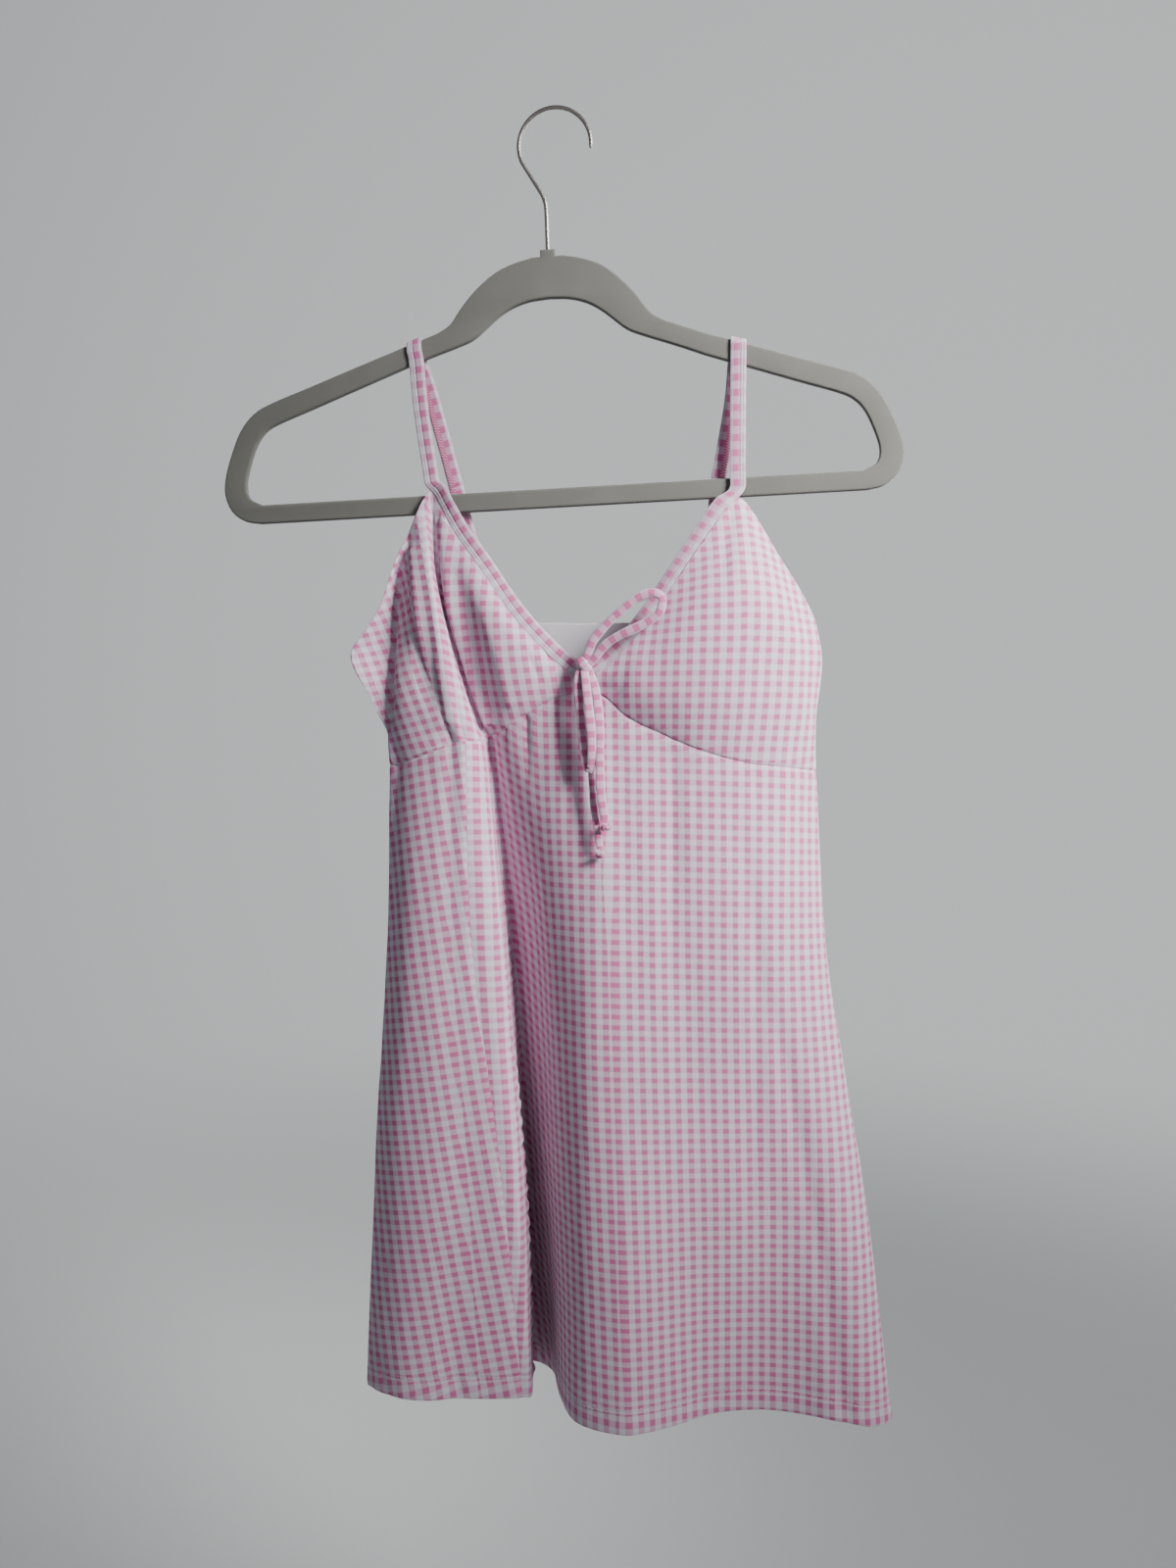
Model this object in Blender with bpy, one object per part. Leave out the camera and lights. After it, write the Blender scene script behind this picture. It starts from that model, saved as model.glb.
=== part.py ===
"""A short gingham strap dress hanging from a flocked hanger with a wire hook.

Metres, +Z up, +X to the viewer's right, -Y towards the viewer.
The origin is the top of the hook's inside, where a peg carries the hanger.
The tables are in millimetres, and mm() turns them into metres.
"""

import math
from typing import NamedTuple

import bmesh
import bpy
from mathutils import Matrix, Vector

COLLECTION = "Gingham dress on a hanger"

# Hanger, in its own upright plane with the hook's crook over x = 0
HANGER_YAW = math.radians(-6.5)
HANGER_TILT = math.radians(-2.1)
HANGER_MIDDLE = -0.007
HANGER_THICKNESS = 0.005
HANGER_ROUNDING = 0.0012
NUB_HALF_WIDTH = 0.0048
NUB_TOP = -0.0865
NUB_FOOT = -0.0908
RIGHT_ARM_SHARE = 0.986
RIGHT_ARM_SAG = 0.0036
SAG_START = 0.04
SAG_RAMP = 0.06
BAR_LEVEL = -0.238
END_RAMP = 0.05
OUTLINE_SPACING = 0.012
WIRE = 0.0025
CROOK_RADIUS = 0.0232
CROOK_TIP_ANGLE = math.radians(-9.0)
CROOK_END_ANGLE = math.radians(203.0)
CROOK_STEPS = 26
WIRE_SPACING = 0.004
STEM = ((-3.6, -49.5), (-0.9, -55.5), (0, -62.5))

# Cloth
WALL = 0.0012
HEM_WALL = 0.0022
HEM_DEPTH = 0.014
LINING = 0.0010
SEAM_GAP = 0.0003
STRAP_WIDTH = 0.0098
STRAP_THICKNESS = 0.0018
NECK_POINT_REACH = 0.03
FRONT_STEPS = 3
BACK_STEPS = 2
BODICE_ROWS = 8
SKIRT_ROWS = 12

# Tie
TIE = 0.0044
TIE_SPACING = 0.004
KNOT = (0.0125, 0.0078, 0.0128)
SHORT_END_KNOT = 0.0072
LONG_END_KNOT = 0.0064

# The dress hangs square to the hanger, so a depth counts from the hanger's plane
YAW_SLOPE = math.tan(-HANGER_YAW)


class Gore(NamedTuple):
    """One line down the dress: x, depth and height at the edge, at two levels above the waist
    seam and at the seam; then x and depth at two levels of the skirt, and x, depth, height at the hem.
    Depths are in front (-) or behind (+) the hanger's plane."""

    name: str
    edge: tuple
    high: tuple
    low: tuple
    waist: tuple
    hip: tuple
    thigh: tuple
    hem: tuple


GORES = (
    Gore("side seam left", (-96, -6, -267), (-90, -10, -309), (-79, -16, -359), (-66, -22, -402),
         (-66, -31, 0), (-56, -39, 0), (-50, -36, -834)),
    Gore("left crest", (-90, -8, -254), (-81, -17, -301), (-71, -25, -357), (-57, -24, -401),
         (-53, -31, 0), (-34, -38, 0), (-21, -33, -833)),
    Gore("left strap outer", (-84, -6, -242), (-78, -14, -295), (-63, -20, -359), (-49, -17, -401),
         (-38, -26, 0), (-22, -31, 0), (-15, -24, -834)),
    Gore("deep fold", (-79, -6, -240), (-71, -7, -302), (-56, -6, -358), (-42, -8, -398),
         (-28, 0, 0), (-21, 9, 0), (-19, 17, -837)),
    Gore("fold's right wall", (-65, -11, -266), (-54, -19, -310), (-42, -21, -356), (-32, -17, -393),
         (-13, -12, 0), (-6, -12, 0), (-3, 7, -836)),
    Gore("left cup middle", (-47, -17, -291), (-36, -26, -323), (-28, -27, -357), (-20, -21, -385),
         (-1, -29, 0), (6, -37, 0), (4, -27, -834)),
    Gore("left cup inner", (-22, -23, -326), (-17, -27, -342), (-12, -27, -359), (-5, -24, -376),
         (14, -40, 0), (21, -52, 0), (15, -54, -834)),
    Gore("centre front", (11, -24, -358), (13, -24, -361), (15, -24, -365), (18, -24, -368),
         (33, -44, 0), (40, -56, 0), (42, -65, -833)),
    Gore("right cup inner", (29, -26, -357), (30, -26, -362), (32, -26, -367), (33, -26, -373),
         (50, -43, 0), (56, -54, 0), (58, -61, -833)),
    Gore("right cup rise", (47, -29, -341), (47, -34, -355), (48, -34, -370), (48, -30, -386),
         (64, -43, 0), (74, -49, 0), (78, -51, -833)),
    Gore("right cup front", (63, -28, -321), (65, -38, -344), (66, -39, -370), (67, -32, -395),
         (80, -41, 0), (92, -44, 0), (98, -40, -832)),
    Gore("right cup crest", (80, -24, -296), (84, -41, -330), (85, -42, -369), (85, -34, -403),
         (97, -41, 0), (112, -40, 0), (118, -34, -831)),
    Gore("right cup middle", (97, -17, -271), (103, -41, -318), (105, -42, -367), (106, -34, -410),
         (117, -39, 0), (132, -35, 0), (140, -31, -831)),
    Gore("right strap inner", (111, -10, -252), (121, -38, -308), (124, -39, -363), (125, -31, -414),
         (135, -35, 0), (152, -32, 0), (162, -32, -832)),
    Gore("right strap outer", (121, -7, -249), (136, -33, -312), (142, -33, -364), (144, -25, -416),
         (150, -29, 0), (170, -31, 0), (184, -36, -833)),
    Gore("right cup side", (140, -10, -280), (153, -25, -329), (157, -24, -371), (157, -16, -418),
         (166, -19, 0), (188, -25, 0), (205, -33, -836)),
    Gore("right edge", (166, -10, -328), (170, -9, -352), (167, -6, -388), (168, -3, -420),
         (177, -4, 0), (201, -9, 0), (219, -18, -837)),
    Gore("right turn", (161, 9, -362), (160, 10, -378), (157, 11, -397), (157, 12, -420),
         (166, 11, 0), (190, 11, 0), (208, 7, -837)),
    Gore("side seam right", (128, 14, -366), (126, 15, -381), (124, 15, -399), (120, 14, -420),
         (132, 15, 0), (150, 15, 0), (164, 16, -837)),
    Gore("right strap at back, outer", (101, 10, -326), (98, 12, -356), (95, 13, -388), (92, 12, -420),
         (104, 19, 0), (116, 25, 0), (124, 28, -837)),
    Gore("right strap at back, inner", (90, 10, -325), (87, 13, -355), (84, 13, -388), (80, 12, -420),
         (88, 18, 0), (96, 23, 0), (102, 25, -837)),
    Gore("back, right of middle", (50, 10, -324), (48, 13, -355), (45, 14, -388), (42, 12, -419),
         (50, 12, 0), (56, 12, 0), (60, 11, -837)),
    Gore("back, left of middle", (8, 10, -324), (4, 12, -355), (0, 12, -387), (-2, 12, -419),
         (4, 17, 0), (6, 22, 0), (10, 26, -837)),
    Gore("left strap at back, inner", (-36, 10, -323), (-36, 12, -354), (-37, 12, -387), (-38, 11, -418),
         (-36, 17, 0), (-34, 23, 0), (-32, 28, -837)),
    Gore("left strap at back, outer", (-47, 10, -324), (-50, 12, -355), (-52, 12, -387), (-54, 11, -418),
         (-56, 14, 0), (-60, 17, 0), (-64, 19, -839)),
    Gore("left turn", (-86, 8, -374), (-88, 10, -386), (-89, 10, -401), (-90, 9, -418),
         (-94, 10, 0), (-101, 9, 0), (-107, 6, -838)),
    Gore("left edge", (-109, -3, -393), (-109, -3, -401), (-109, -3, -409), (-109, -3, -418),
         (-112.5, -4, 0), (-121, -9, 0), (-127.5, -15, -839)),
    Gore("underarm edge", (-125, -6, -368), (-111, -5, -374), (-108, -8, -393), (-103, -8, -417),
         (-108, -14, 0), (-116, -21, 0), (-121, -28, -837)),
    Gore("underarm point", (-135, -7, -345), (-111, 0, -345), (-105, -12, -376), (-97, -13, -415),
         (-101, -22, 0), (-106, -30, 0), (-109, -37, -835)),
    Gore("underarm fold", (-124, -8, -327), (-107, 0, -327), (-101, -15, -366), (-87, -18, -411),
         (-93, -27, 0), (-96, -35, 0), (-97, -42, -834)),
    Gore("underarm top", (-114, -8, -311), (-101, -2, -308), (-93, -17, -359), (-77, -21, -407),
         (-83, -30, 0), (-83, -39, 0), (-80, -41, -834)),
    Gore("side, left crest", (-104, -8, -283), (-98, -4, -294), (-89, -17, -359), (-72, -22, -404),
         (-75, -31, 0), (-70, -40, 0), (-65, -37, -834)),
)
HIP_LEVEL = 0.30
THIGH_LEVEL = 0.65
FIRST_BACK_GORE = "right turn"
LAST_BACK_GORE = "left turn"


class Piece(NamedTuple):
    """A cut piece: from one gore to another, going right, above or below the waist seam."""

    node: str
    start: str
    end: str
    bodice: bool


PIECES = (
    Piece("cup_left", "side seam left", "centre front", True),
    Piece("cup_right", "centre front", "side seam right", True),
    Piece("bodice_back", "side seam right", "side seam left", True),
    Piece("skirt_front", "left crest", "side seam right", False),
    Piece("skirt_back", "side seam right", "left crest", False),
)
LINING_PIECE = Piece("bodice_back_lining", "side seam right", "left edge", True)


class Station(NamedTuple):
    """A point on a strap's middle line, and how far its width leans up to the right, in degrees."""

    x: float
    depth: float
    z: float
    lean: float


class Strap(NamedTuple):
    side: str
    neck_start: str
    neck_end: str
    rise: tuple
    over: float
    arm_lean: float
    fall: tuple
    tail: tuple


# The front straps rise in front of the hanger's bar, and the back straps fall behind it
STRAPS = (
    Strap("left", "centre front", "deep fold",
          (Station(-79.5, -5.2, -233, 10), Station(-81, -4.4, -225, 8), Station(-85, -3.8, -199, 7),
           Station(-88, -3.7, -174, 5), Station(-89.5, -3.7, -155, 12)),
          -91, 20.5,
          (Station(-88, 3.8, -155, 12), Station(-82, 3.9, -172, -14), Station(-73, 4.2, -204, -15),
           Station(-65, 4.6, -234, -15)),
          (Station(-64.9, 4.6, -234.4, -15), Station(-59, 5.4, -257, -15), Station(-50, 7.6, -290, -14),
           Station(-42, 10, -319.8, -7))),
    Strap("right", "centre front", "right strap inner",
          (Station(116.5, -5.4, -241, -3), Station(117, -4.4, -229, 0), Station(117, -3.8, -204, 0),
           Station(117, -3.7, -180, 0), Station(117, -3.7, -160, -10)),
          117, -15.6,
          (Station(116, 3.8, -160, -8), Station(114, 3.9, -185, 5), Station(109, 4.2, -216, 6),
           Station(106, 4.6, -232, 6)),
          (Station(105.9, 4.6, -232.8, 6), Station(103, 5.4, -264, 6), Station(99, 7.6, -296, 6),
           Station(95.6, 10, -322.4, 4))),
)


class Strand(NamedTuple):
    """A strand of the tie: its route in millimetres, x, y and z, from the knot outwards."""

    node: str
    route: tuple


STRANDS = (
    Strand("tie_loop_up", ((22, -36.2, -346.2), (24.5, -37.8, -338.5), (29, -39, -332.5), (35, -40.5, -326),
                           (42, -42.3, -319.8), (49, -44, -314.3), (56, -45.5, -310.2), (62.5, -46.7, -308.8),
                           (67, -47.5, -311), (67.6, -47.8, -316), (64.8, -47.2, -322), (58, -45.5, -326.8),
                           (49.5, -43.8, -331), (41, -41.8, -334.8), (33, -39.2, -340), (27, -37.3, -349.4))),
    Strand("tie_loop_down", ((15.2, -36, -359.2), (15.6, -37.5, -366), (16.6, -39.5, -376),
                             (18.3, -42, -393), (20.2, -44, -408), (22, -45.6, -416.8),
                             (23.8, -47.3, -417), (24.4, -48, -408), (23.9, -47.4, -393), (22, -44, -375),
                             (20.4, -40.6, -361.6))),
    Strand("tie_tail_short", ((24.8, -36, -358.6), (27.2, -39.5, -368), (28.6, -43.5, -380), (29.3, -46.5, -396),
                              (29.4, -48.4, -414), (30, -49.8, -432), (32.5, -51, -449))),
    Strand("tie_tail_long", ((20.2, -33.2, -360.6), (21.5, -35.4, -372), (22.8, -38.2, -390),
                             (23.8, -39.8, -408), (24.6, -42.2, -424), (26, -45.2, -442), (29.6, -49, -467))),
)
KNOT_CENTRE = (19.8, -34.8, -353)


def mm(*values):
    """Millimetres to metres, as a vector."""
    return Vector(values) / 1000.0


def spot(x, depth, z):
    """A point of the dress, with its depth counted from the hanger's plane, in millimetres."""
    return mm(x, depth - YAW_SLOPE * x, z)


def curve_at(points, t):
    """The smooth curve through points, at t counted in points, with straight-running ends."""
    last = len(points) - 1
    i = min(max(int(math.floor(t)), 0), last - 1)
    f = t - i
    p1 = points[i]
    p2 = points[i + 1]
    p0 = points[i - 1] if i > 0 else p1 * 2 - p2
    p3 = points[i + 2] if i + 2 <= last else p2 * 2 - p1
    slope1 = (p2 - p0) * 0.5
    slope2 = (p3 - p1) * 0.5
    return (p1 * (2 * f ** 3 - 3 * f ** 2 + 1) + slope1 * (f ** 3 - 2 * f ** 2 + f)
            + p2 * (3 * f ** 2 - 2 * f ** 3) + slope2 * (f ** 3 - f ** 2))


def ring_at(points, t):
    """The smooth closed curve through points, at t counted in points."""
    n = len(points)
    i = int(math.floor(t))
    window = [points[(i + k) % n] for k in (-1, 0, 1, 2)]
    return curve_at(window, 1 + t - i)


def resampled(points, spacing):
    """Points about a spacing apart on the smooth curve through the given ones."""
    out = [points[0]]
    for i in range(len(points) - 1):
        steps = max(1, round((points[i + 1] - points[i]).length / spacing))
        out += [curve_at(points, i + k / steps) for k in range(1, steps + 1)]
    return out


def gore_levels(gore):
    """The gore's four points above the waist seam and its four from the seam down."""
    waist = spot(*gore.waist)
    hem = spot(*gore.hem)
    hip = spot(gore.hip[0], gore.hip[1], gore.waist[2] + (gore.hem[2] - gore.waist[2]) * HIP_LEVEL)
    thigh = spot(gore.thigh[0], gore.thigh[1], gore.waist[2] + (gore.hem[2] - gore.waist[2]) * THIGH_LEVEL)
    bodice = [spot(*gore.edge), spot(*gore.high), spot(*gore.low), waist]
    return bodice, [waist, hip, thigh, hem]


def number(name):
    return [gore.name for gore in GORES].index(name)


def ring_stops():
    """Where the columns of the mesh stand round the dress, counted in gores, and the gores' columns."""
    first_back = number(FIRST_BACK_GORE)
    last_back = number(LAST_BACK_GORE)
    stops = []
    column_of = []
    for i in range(len(GORES)):
        steps = BACK_STEPS if first_back <= i < last_back else FRONT_STEPS
        column_of.append(len(stops))
        stops += [i + k / steps for k in range(steps)]
    return stops, column_of


def dress_grid():
    """Rows of points from the top edge to the hem, all round, with the waist seam's row shared."""
    stops, column_of = ring_stops()
    levels = [gore_levels(gore) for gore in GORES]
    bodice_rings = [[pair[0][k] for pair in levels] for k in range(4)]
    skirt_rings = [[pair[1][k] for pair in levels] for k in range(4)]
    rows = []
    for r in range(BODICE_ROWS):
        t = 3 * r / BODICE_ROWS
        rows.append([curve_at([ring_at(ring, s) for ring in bodice_rings], t) for s in stops])
    for r in range(SKIRT_ROWS + 1):
        share = r / SKIRT_ROWS
        t = level_position(share)
        rows.append([curve_at([ring_at(ring, s) for ring in skirt_rings], t) for s in stops])
    return rows, column_of


def level_position(share):
    """Turns a share of the skirt's length into a position counted in its levels."""
    if share < HIP_LEVEL:
        return share / HIP_LEVEL
    if share < THIGH_LEVEL:
        return 1 + (share - HIP_LEVEL) / (THIGH_LEVEL - HIP_LEVEL)
    return 2 + (share - THIGH_LEVEL) / (1 - THIGH_LEVEL)


def grid_normals(rows):
    """Outward directions on the closed rows, shared by the pieces on both sides of each seam."""
    count = len(rows[0])
    normals = []
    for r, row in enumerate(rows):
        above = rows[max(r - 1, 0)]
        below = rows[min(r + 1, len(rows) - 1)]
        line = []
        for c in range(count):
            along = row[(c + 1) % count] - row[c - 1]
            down = below[c] - above[c]
            line.append(down.cross(along).normalized())
        normals.append(line)
    return normals


def drawn_in(points, before, distance):
    """The points moved a distance along the cloth, away from the edge and towards the next points."""
    return [p + (q - p).normalized() * min(distance, (q - p).length * 0.5) for p, q in zip(points, before)]


def piece_grid(rows, normals, column_of, piece):
    """The piece's own points and directions, drawn in by half a seam gap at each seam."""
    start = column_of[number(piece.start)]
    end = column_of[number(piece.end)]
    count = len(rows[0])
    if end <= start:
        end += count
    columns = [c % count for c in range(start, end + 1)]
    span = range(0, BODICE_ROWS + 1) if piece.bodice else range(BODICE_ROWS, len(rows))
    points = [[rows[r][c] for c in columns] for r in span]
    outward = [[normals[r][c] for c in columns] for r in span]
    half = SEAM_GAP / 2
    if piece.bodice:
        points[-1] = drawn_in(points[-1], points[-2], half)
    else:
        points[0] = drawn_in(points[0], points[1], half)
    for line in points:
        line[0] = line[0] + (line[1] - line[0]).normalized() * half
        line[-1] = line[-1] + (line[-2] - line[-1]).normalized() * half
    return points, outward


def wall_mesh(name, outer, inner):
    """A closed wall between two equal grids of points."""
    mesh = bmesh.new()
    rows = len(outer)
    columns = len(outer[0])
    top = [[mesh.verts.new(p) for p in line] for line in outer]
    under = [[mesh.verts.new(p) for p in line] for line in inner]
    for r in range(rows - 1):
        for c in range(columns - 1):
            mesh.faces.new((top[r][c], top[r + 1][c], top[r + 1][c + 1], top[r][c + 1]))
            mesh.faces.new((under[r][c], under[r][c + 1], under[r + 1][c + 1], under[r + 1][c]))
    for c in range(columns - 1):
        mesh.faces.new((top[0][c], top[0][c + 1], under[0][c + 1], under[0][c]))
        mesh.faces.new((top[-1][c + 1], top[-1][c], under[-1][c], under[-1][c + 1]))
    for r in range(rows - 1):
        mesh.faces.new((top[r + 1][0], top[r][0], under[r][0], under[r + 1][0]))
        mesh.faces.new((top[r][-1], top[r + 1][-1], under[r + 1][-1], under[r][-1]))
    bmesh.ops.recalc_face_normals(mesh, faces=mesh.faces)
    data = bpy.data.meshes.new(name)
    mesh.to_mesh(data)
    mesh.free()
    return data


def placed(name, data, material, smooth=True):
    """An object in the dress's collection, with its material."""
    obj = bpy.data.objects.new(name, data)
    bpy.data.collections[COLLECTION].objects.link(obj)
    data.materials.append(material)
    if smooth and isinstance(data, bpy.types.Mesh):
        data.shade_smooth()
        data.set_sharp_from_angle(angle=math.radians(50))
    return obj


def finish(name, colour, roughness, metallic=0.0):
    """A plain Principled material."""
    material = bpy.data.materials.new(name)
    material.use_nodes = True
    shader = material.node_tree.nodes["Principled BSDF"]
    shader.inputs["Base Color"].default_value = (*colour, 1.0)
    shader.inputs["Roughness"].default_value = roughness
    shader.inputs["Metallic"].default_value = metallic
    material.diffuse_color = (*colour, 1.0)
    return material


def clear_scene():
    for obj in list(bpy.data.objects):
        bpy.data.objects.remove(obj, do_unlink=True)


def wall_thickness(points, bodice):
    """The wall's thickness at each row: the hem is turned up and so is nearly double."""
    if bodice:
        return [WALL] * len(points)
    middle = len(points[0]) // 2
    hem = points[-1][middle]
    return [HEM_WALL if (line[middle] - hem).length < HEM_DEPTH else WALL for line in points]


def build_panels(rows, normals, column_of, cloth):
    """The cups, the back of the bodice and the two halves of the skirt."""
    for piece in PIECES:
        points, outward = piece_grid(rows, normals, column_of, piece)
        walls = wall_thickness(points, piece.bodice)
        outer = [[p + n * WALL / 2 for p, n in zip(*line)] for line in zip(points, outward)]
        inner = [[p - n * (wall - WALL / 2) for p, n in zip(line, lean)]
                 for line, lean, wall in zip(points, outward, walls)]
        placed(piece.node, wall_mesh(piece.node, outer, inner), cloth)


def build_lining(rows, normals, column_of, cloth):
    """The lining that shows through the neck, made from the back's points moved inwards."""
    points, outward = piece_grid(rows, normals, column_of, LINING_PIECE)
    near = WALL / 2 + SEAM_GAP
    outer = [[p - n * near for p, n in zip(*line)] for line in zip(points, outward)]
    inner = [[p - n * (near + LINING) for p, n in zip(*line)] for line in zip(points, outward)]
    placed(LINING_PIECE.node, wall_mesh(LINING_PIECE.node, outer, inner), cloth)


def neck_frames(rows, normals, column_of, strap):
    """The binding's middle line, width and outward directions along one cup's neck edge."""
    start = column_of[number(strap.neck_start)]
    end = column_of[number(strap.neck_end)]
    step = 1 if end > start else -1
    frames = []
    for c in range(start, end + step, step):
        before = rows[0][c - step]
        after = rows[0][c + step]
        if c == start:
            before = rows[0][c]
        if c == end:
            after = rows[0][c]
        along = (after - before).normalized()
        outward = normals[0][c]
        across = along.cross(outward).normalized()
        if across.dot(rows[0][c] - rows[1][c]) < 0:
            across.negate()
        middle = rows[0][c] + across * (SEAM_GAP + STRAP_WIDTH / 2)
        frames.append((middle, across, outward))
    return frames


def strap_frames(stations):
    """Middle line, width and outward directions at a strap's stations."""
    points = [spot(s.x, s.depth, s.z) for s in stations]
    frames = []
    for i, station in enumerate(stations):
        before = points[max(i - 1, 0)]
        after = points[min(i + 1, len(points) - 1)]
        along = (after - before).normalized()
        lean = math.radians(station.lean)
        across = Vector((math.cos(lean), -YAW_SLOPE * math.cos(lean), math.sin(lean)))
        across = (across - along * across.dot(along)).normalized()
        outward = across.cross(along).normalized()
        frames.append((points[i], across, outward))
    return frames


def ribbon_mesh(name, frames):
    """A flat closed ribbon through frames of a middle point, a width and an outward direction."""
    half_width = STRAP_WIDTH / 2
    half_wall = STRAP_THICKNESS / 2
    outer = []
    inner = []
    for middle, across, outward in frames:
        edges = [middle + across * half_width * side for side in (-1, 0, 1)]
        outer.append([p + outward * half_wall for p in edges])
        inner.append([p - outward * half_wall for p in edges])
    return wall_mesh(name, outer, inner)


def arm_top(x):
    """The height of the hanger's upper edge at x, in millimetres, after its tilt and yaw."""
    outline = hanger_outline(HANGER_OUTER)
    turned = [hanger_placement() @ Vector((p.x, 0, p.y)) for p in outline]
    best = -1.0
    for p, q in zip(turned, turned[1:]):
        if (p.x - x / 1000) * (q.x - x / 1000) <= 0 and p.x != q.x:
            share = (x / 1000 - p.x) / (q.x - p.x)
            best = max(best, p.z + (q.z - p.z) * share)
    return best * 1000


def over_the_arm(strap):
    """Stations where the strap bends over the hanger's arm."""
    top = arm_top(strap.over)
    bend = ((-3.8, -5.0), (-3.8, -1.0), (-2.7, 1.1), (0.0, 1.9), (2.7, 1.1), (3.8, -1.0), (3.8, -5.0))
    return tuple(Station(strap.over, depth, top + rise, strap.arm_lean) for depth, rise in bend)


def build_straps(rows, normals, column_of, cloth):
    """Each side's neck binding and strap in one, and the strap's end that is sewn to the back."""
    middle_x = rows[0][column_of[number("centre front")]].x
    for strap in STRAPS:
        sign = 1 if strap.side == "left" else -1
        neck = neck_frames(rows, normals, column_of, strap)
        rise = strap_frames(strap.rise + over_the_arm(strap) + strap.fall)
        if neck[-1][1].dot(rise[0][1]) < 0:
            rise = [(p, -across, outward) for p, across, outward in rise]
        name = f"neck_binding_and_strap_{strap.side}"
        mesh = ribbon_mesh(name, neck + rise)
        limit = middle_x - sign * SEAM_GAP / 2
        for vertex in mesh.vertices:
            if vertex.co.y < 0 and abs(vertex.co.z - neck[0][0].z) < NECK_POINT_REACH:
                vertex.co.x = min(vertex.co.x, limit) if sign > 0 else max(vertex.co.x, limit)
        placed(name, mesh, cloth)
        tail = f"back_strap_{strap.side}"
        placed(tail, ribbon_mesh(tail, strap_frames(strap.tail)), cloth)


def build_tie(cloth):
    """The tie at the centre front: its knot, two loops and two tails with knotted ends."""
    knot = bmesh.new()
    bmesh.ops.create_uvsphere(knot, u_segments=14, v_segments=9, radius=0.5)
    bmesh.ops.scale(knot, vec=KNOT, verts=knot.verts)
    data = bpy.data.meshes.new("tie_knot")
    knot.to_mesh(data)
    knot.free()
    placed("tie_knot", data, cloth).location = mm(*KNOT_CENTRE)
    for strand in STRANDS:
        route = [mm(*p) for p in strand.route]
        tube = tube_curve(strand.node, resampled(route, TIE_SPACING), TIE)
        placed(strand.node, tube, cloth)
    for node, strand, size in (("tie_end_short", STRANDS[2], SHORT_END_KNOT),
                               ("tie_end_long", STRANDS[3], LONG_END_KNOT)):
        last = mm(*strand.route[-1])
        run = (last - mm(*strand.route[-2])).normalized()
        ball = bmesh.new()
        bmesh.ops.create_uvsphere(ball, u_segments=10, v_segments=7, radius=size / 2)
        data = bpy.data.meshes.new(node)
        ball.to_mesh(data)
        ball.free()
        placed(node, data, cloth).location = last + run * (size / 2 + SEAM_GAP)


def tube_curve(name, points, diameter):
    """A round tube with filled ends along the points."""
    curve = bpy.data.curves.new(name, "CURVE")
    curve.dimensions = "3D"
    curve.bevel_depth = diameter / 2
    curve.bevel_resolution = 1
    curve.use_fill_caps = True
    spline = curve.splines.new("POLY")
    spline.points.add(len(points) - 1)
    for point, co in zip(spline.points, points):
        point.co = (*co, 1.0)
    return curve


# Half of the hanger's outlines, from its middle out: half width and height, in millimetres.
# The stem's rows above are x from the hanger's middle and height
HANGER_OUTER = ((10, -90.8), (22, -93.5), (33, -97.6), (42, -103.6), (51, -111.4), (59, -120.5),
                (65, -128.4), (73, -133.2), (84, -137), (120, -148.6), (160, -161.8), (188, -171),
                (201, -177.4), (211, -188.6), (218.5, -205), (223, -219), (223.6, -230), (219.5, -240.5),
                (211, -247.2), (200, -249.5))
HANGER_INNER = ((0, -117), (13, -118), (24, -121.2), (33, -126.3), (42, -133.4), (50, -139.2),
                (60, -143), (86, -151), (120, -162.6), (160, -176.4), (184, -184.6), (193, -189.4),
                (200, -198), (206, -213), (208.5, -224), (206.6, -232.4), (198, -237.2))


def bent_arm(point):
    """The moulding's right arm is bent down a little, and ends a little short of the left one."""
    out = point.x - HANGER_MIDDLE
    outwards = min(max((out - SAG_START) / SAG_RAMP, 0), 1)
    above_bar = min(max((point.y - BAR_LEVEL) / END_RAMP, 0), 1)
    drop = RIGHT_ARM_SAG * outwards * above_bar
    return Vector((HANGER_MIDDLE + out * RIGHT_ARM_SHARE, point.y - drop, 0))


def hanger_outline(half):
    """A whole outline in the hanger's plane, from one half's points."""
    right = resampled([mm(HANGER_MIDDLE * 1000 + x, z, 0) for x, z in half], OUTLINE_SPACING)
    left = [Vector((2 * HANGER_MIDDLE - p.x, p.y, 0)) for p in reversed(right)]
    right = [bent_arm(p) for p in right]
    return left + right if half[0][0] > 0 else left + right[1:]


def hanger_placement():
    """The hanger's plane stood upright, tilted about the hook and turned to the viewer."""
    return Matrix.Rotation(HANGER_YAW, 4, "Z") @ Matrix.Rotation(HANGER_TILT, 4, "Y")


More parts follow.
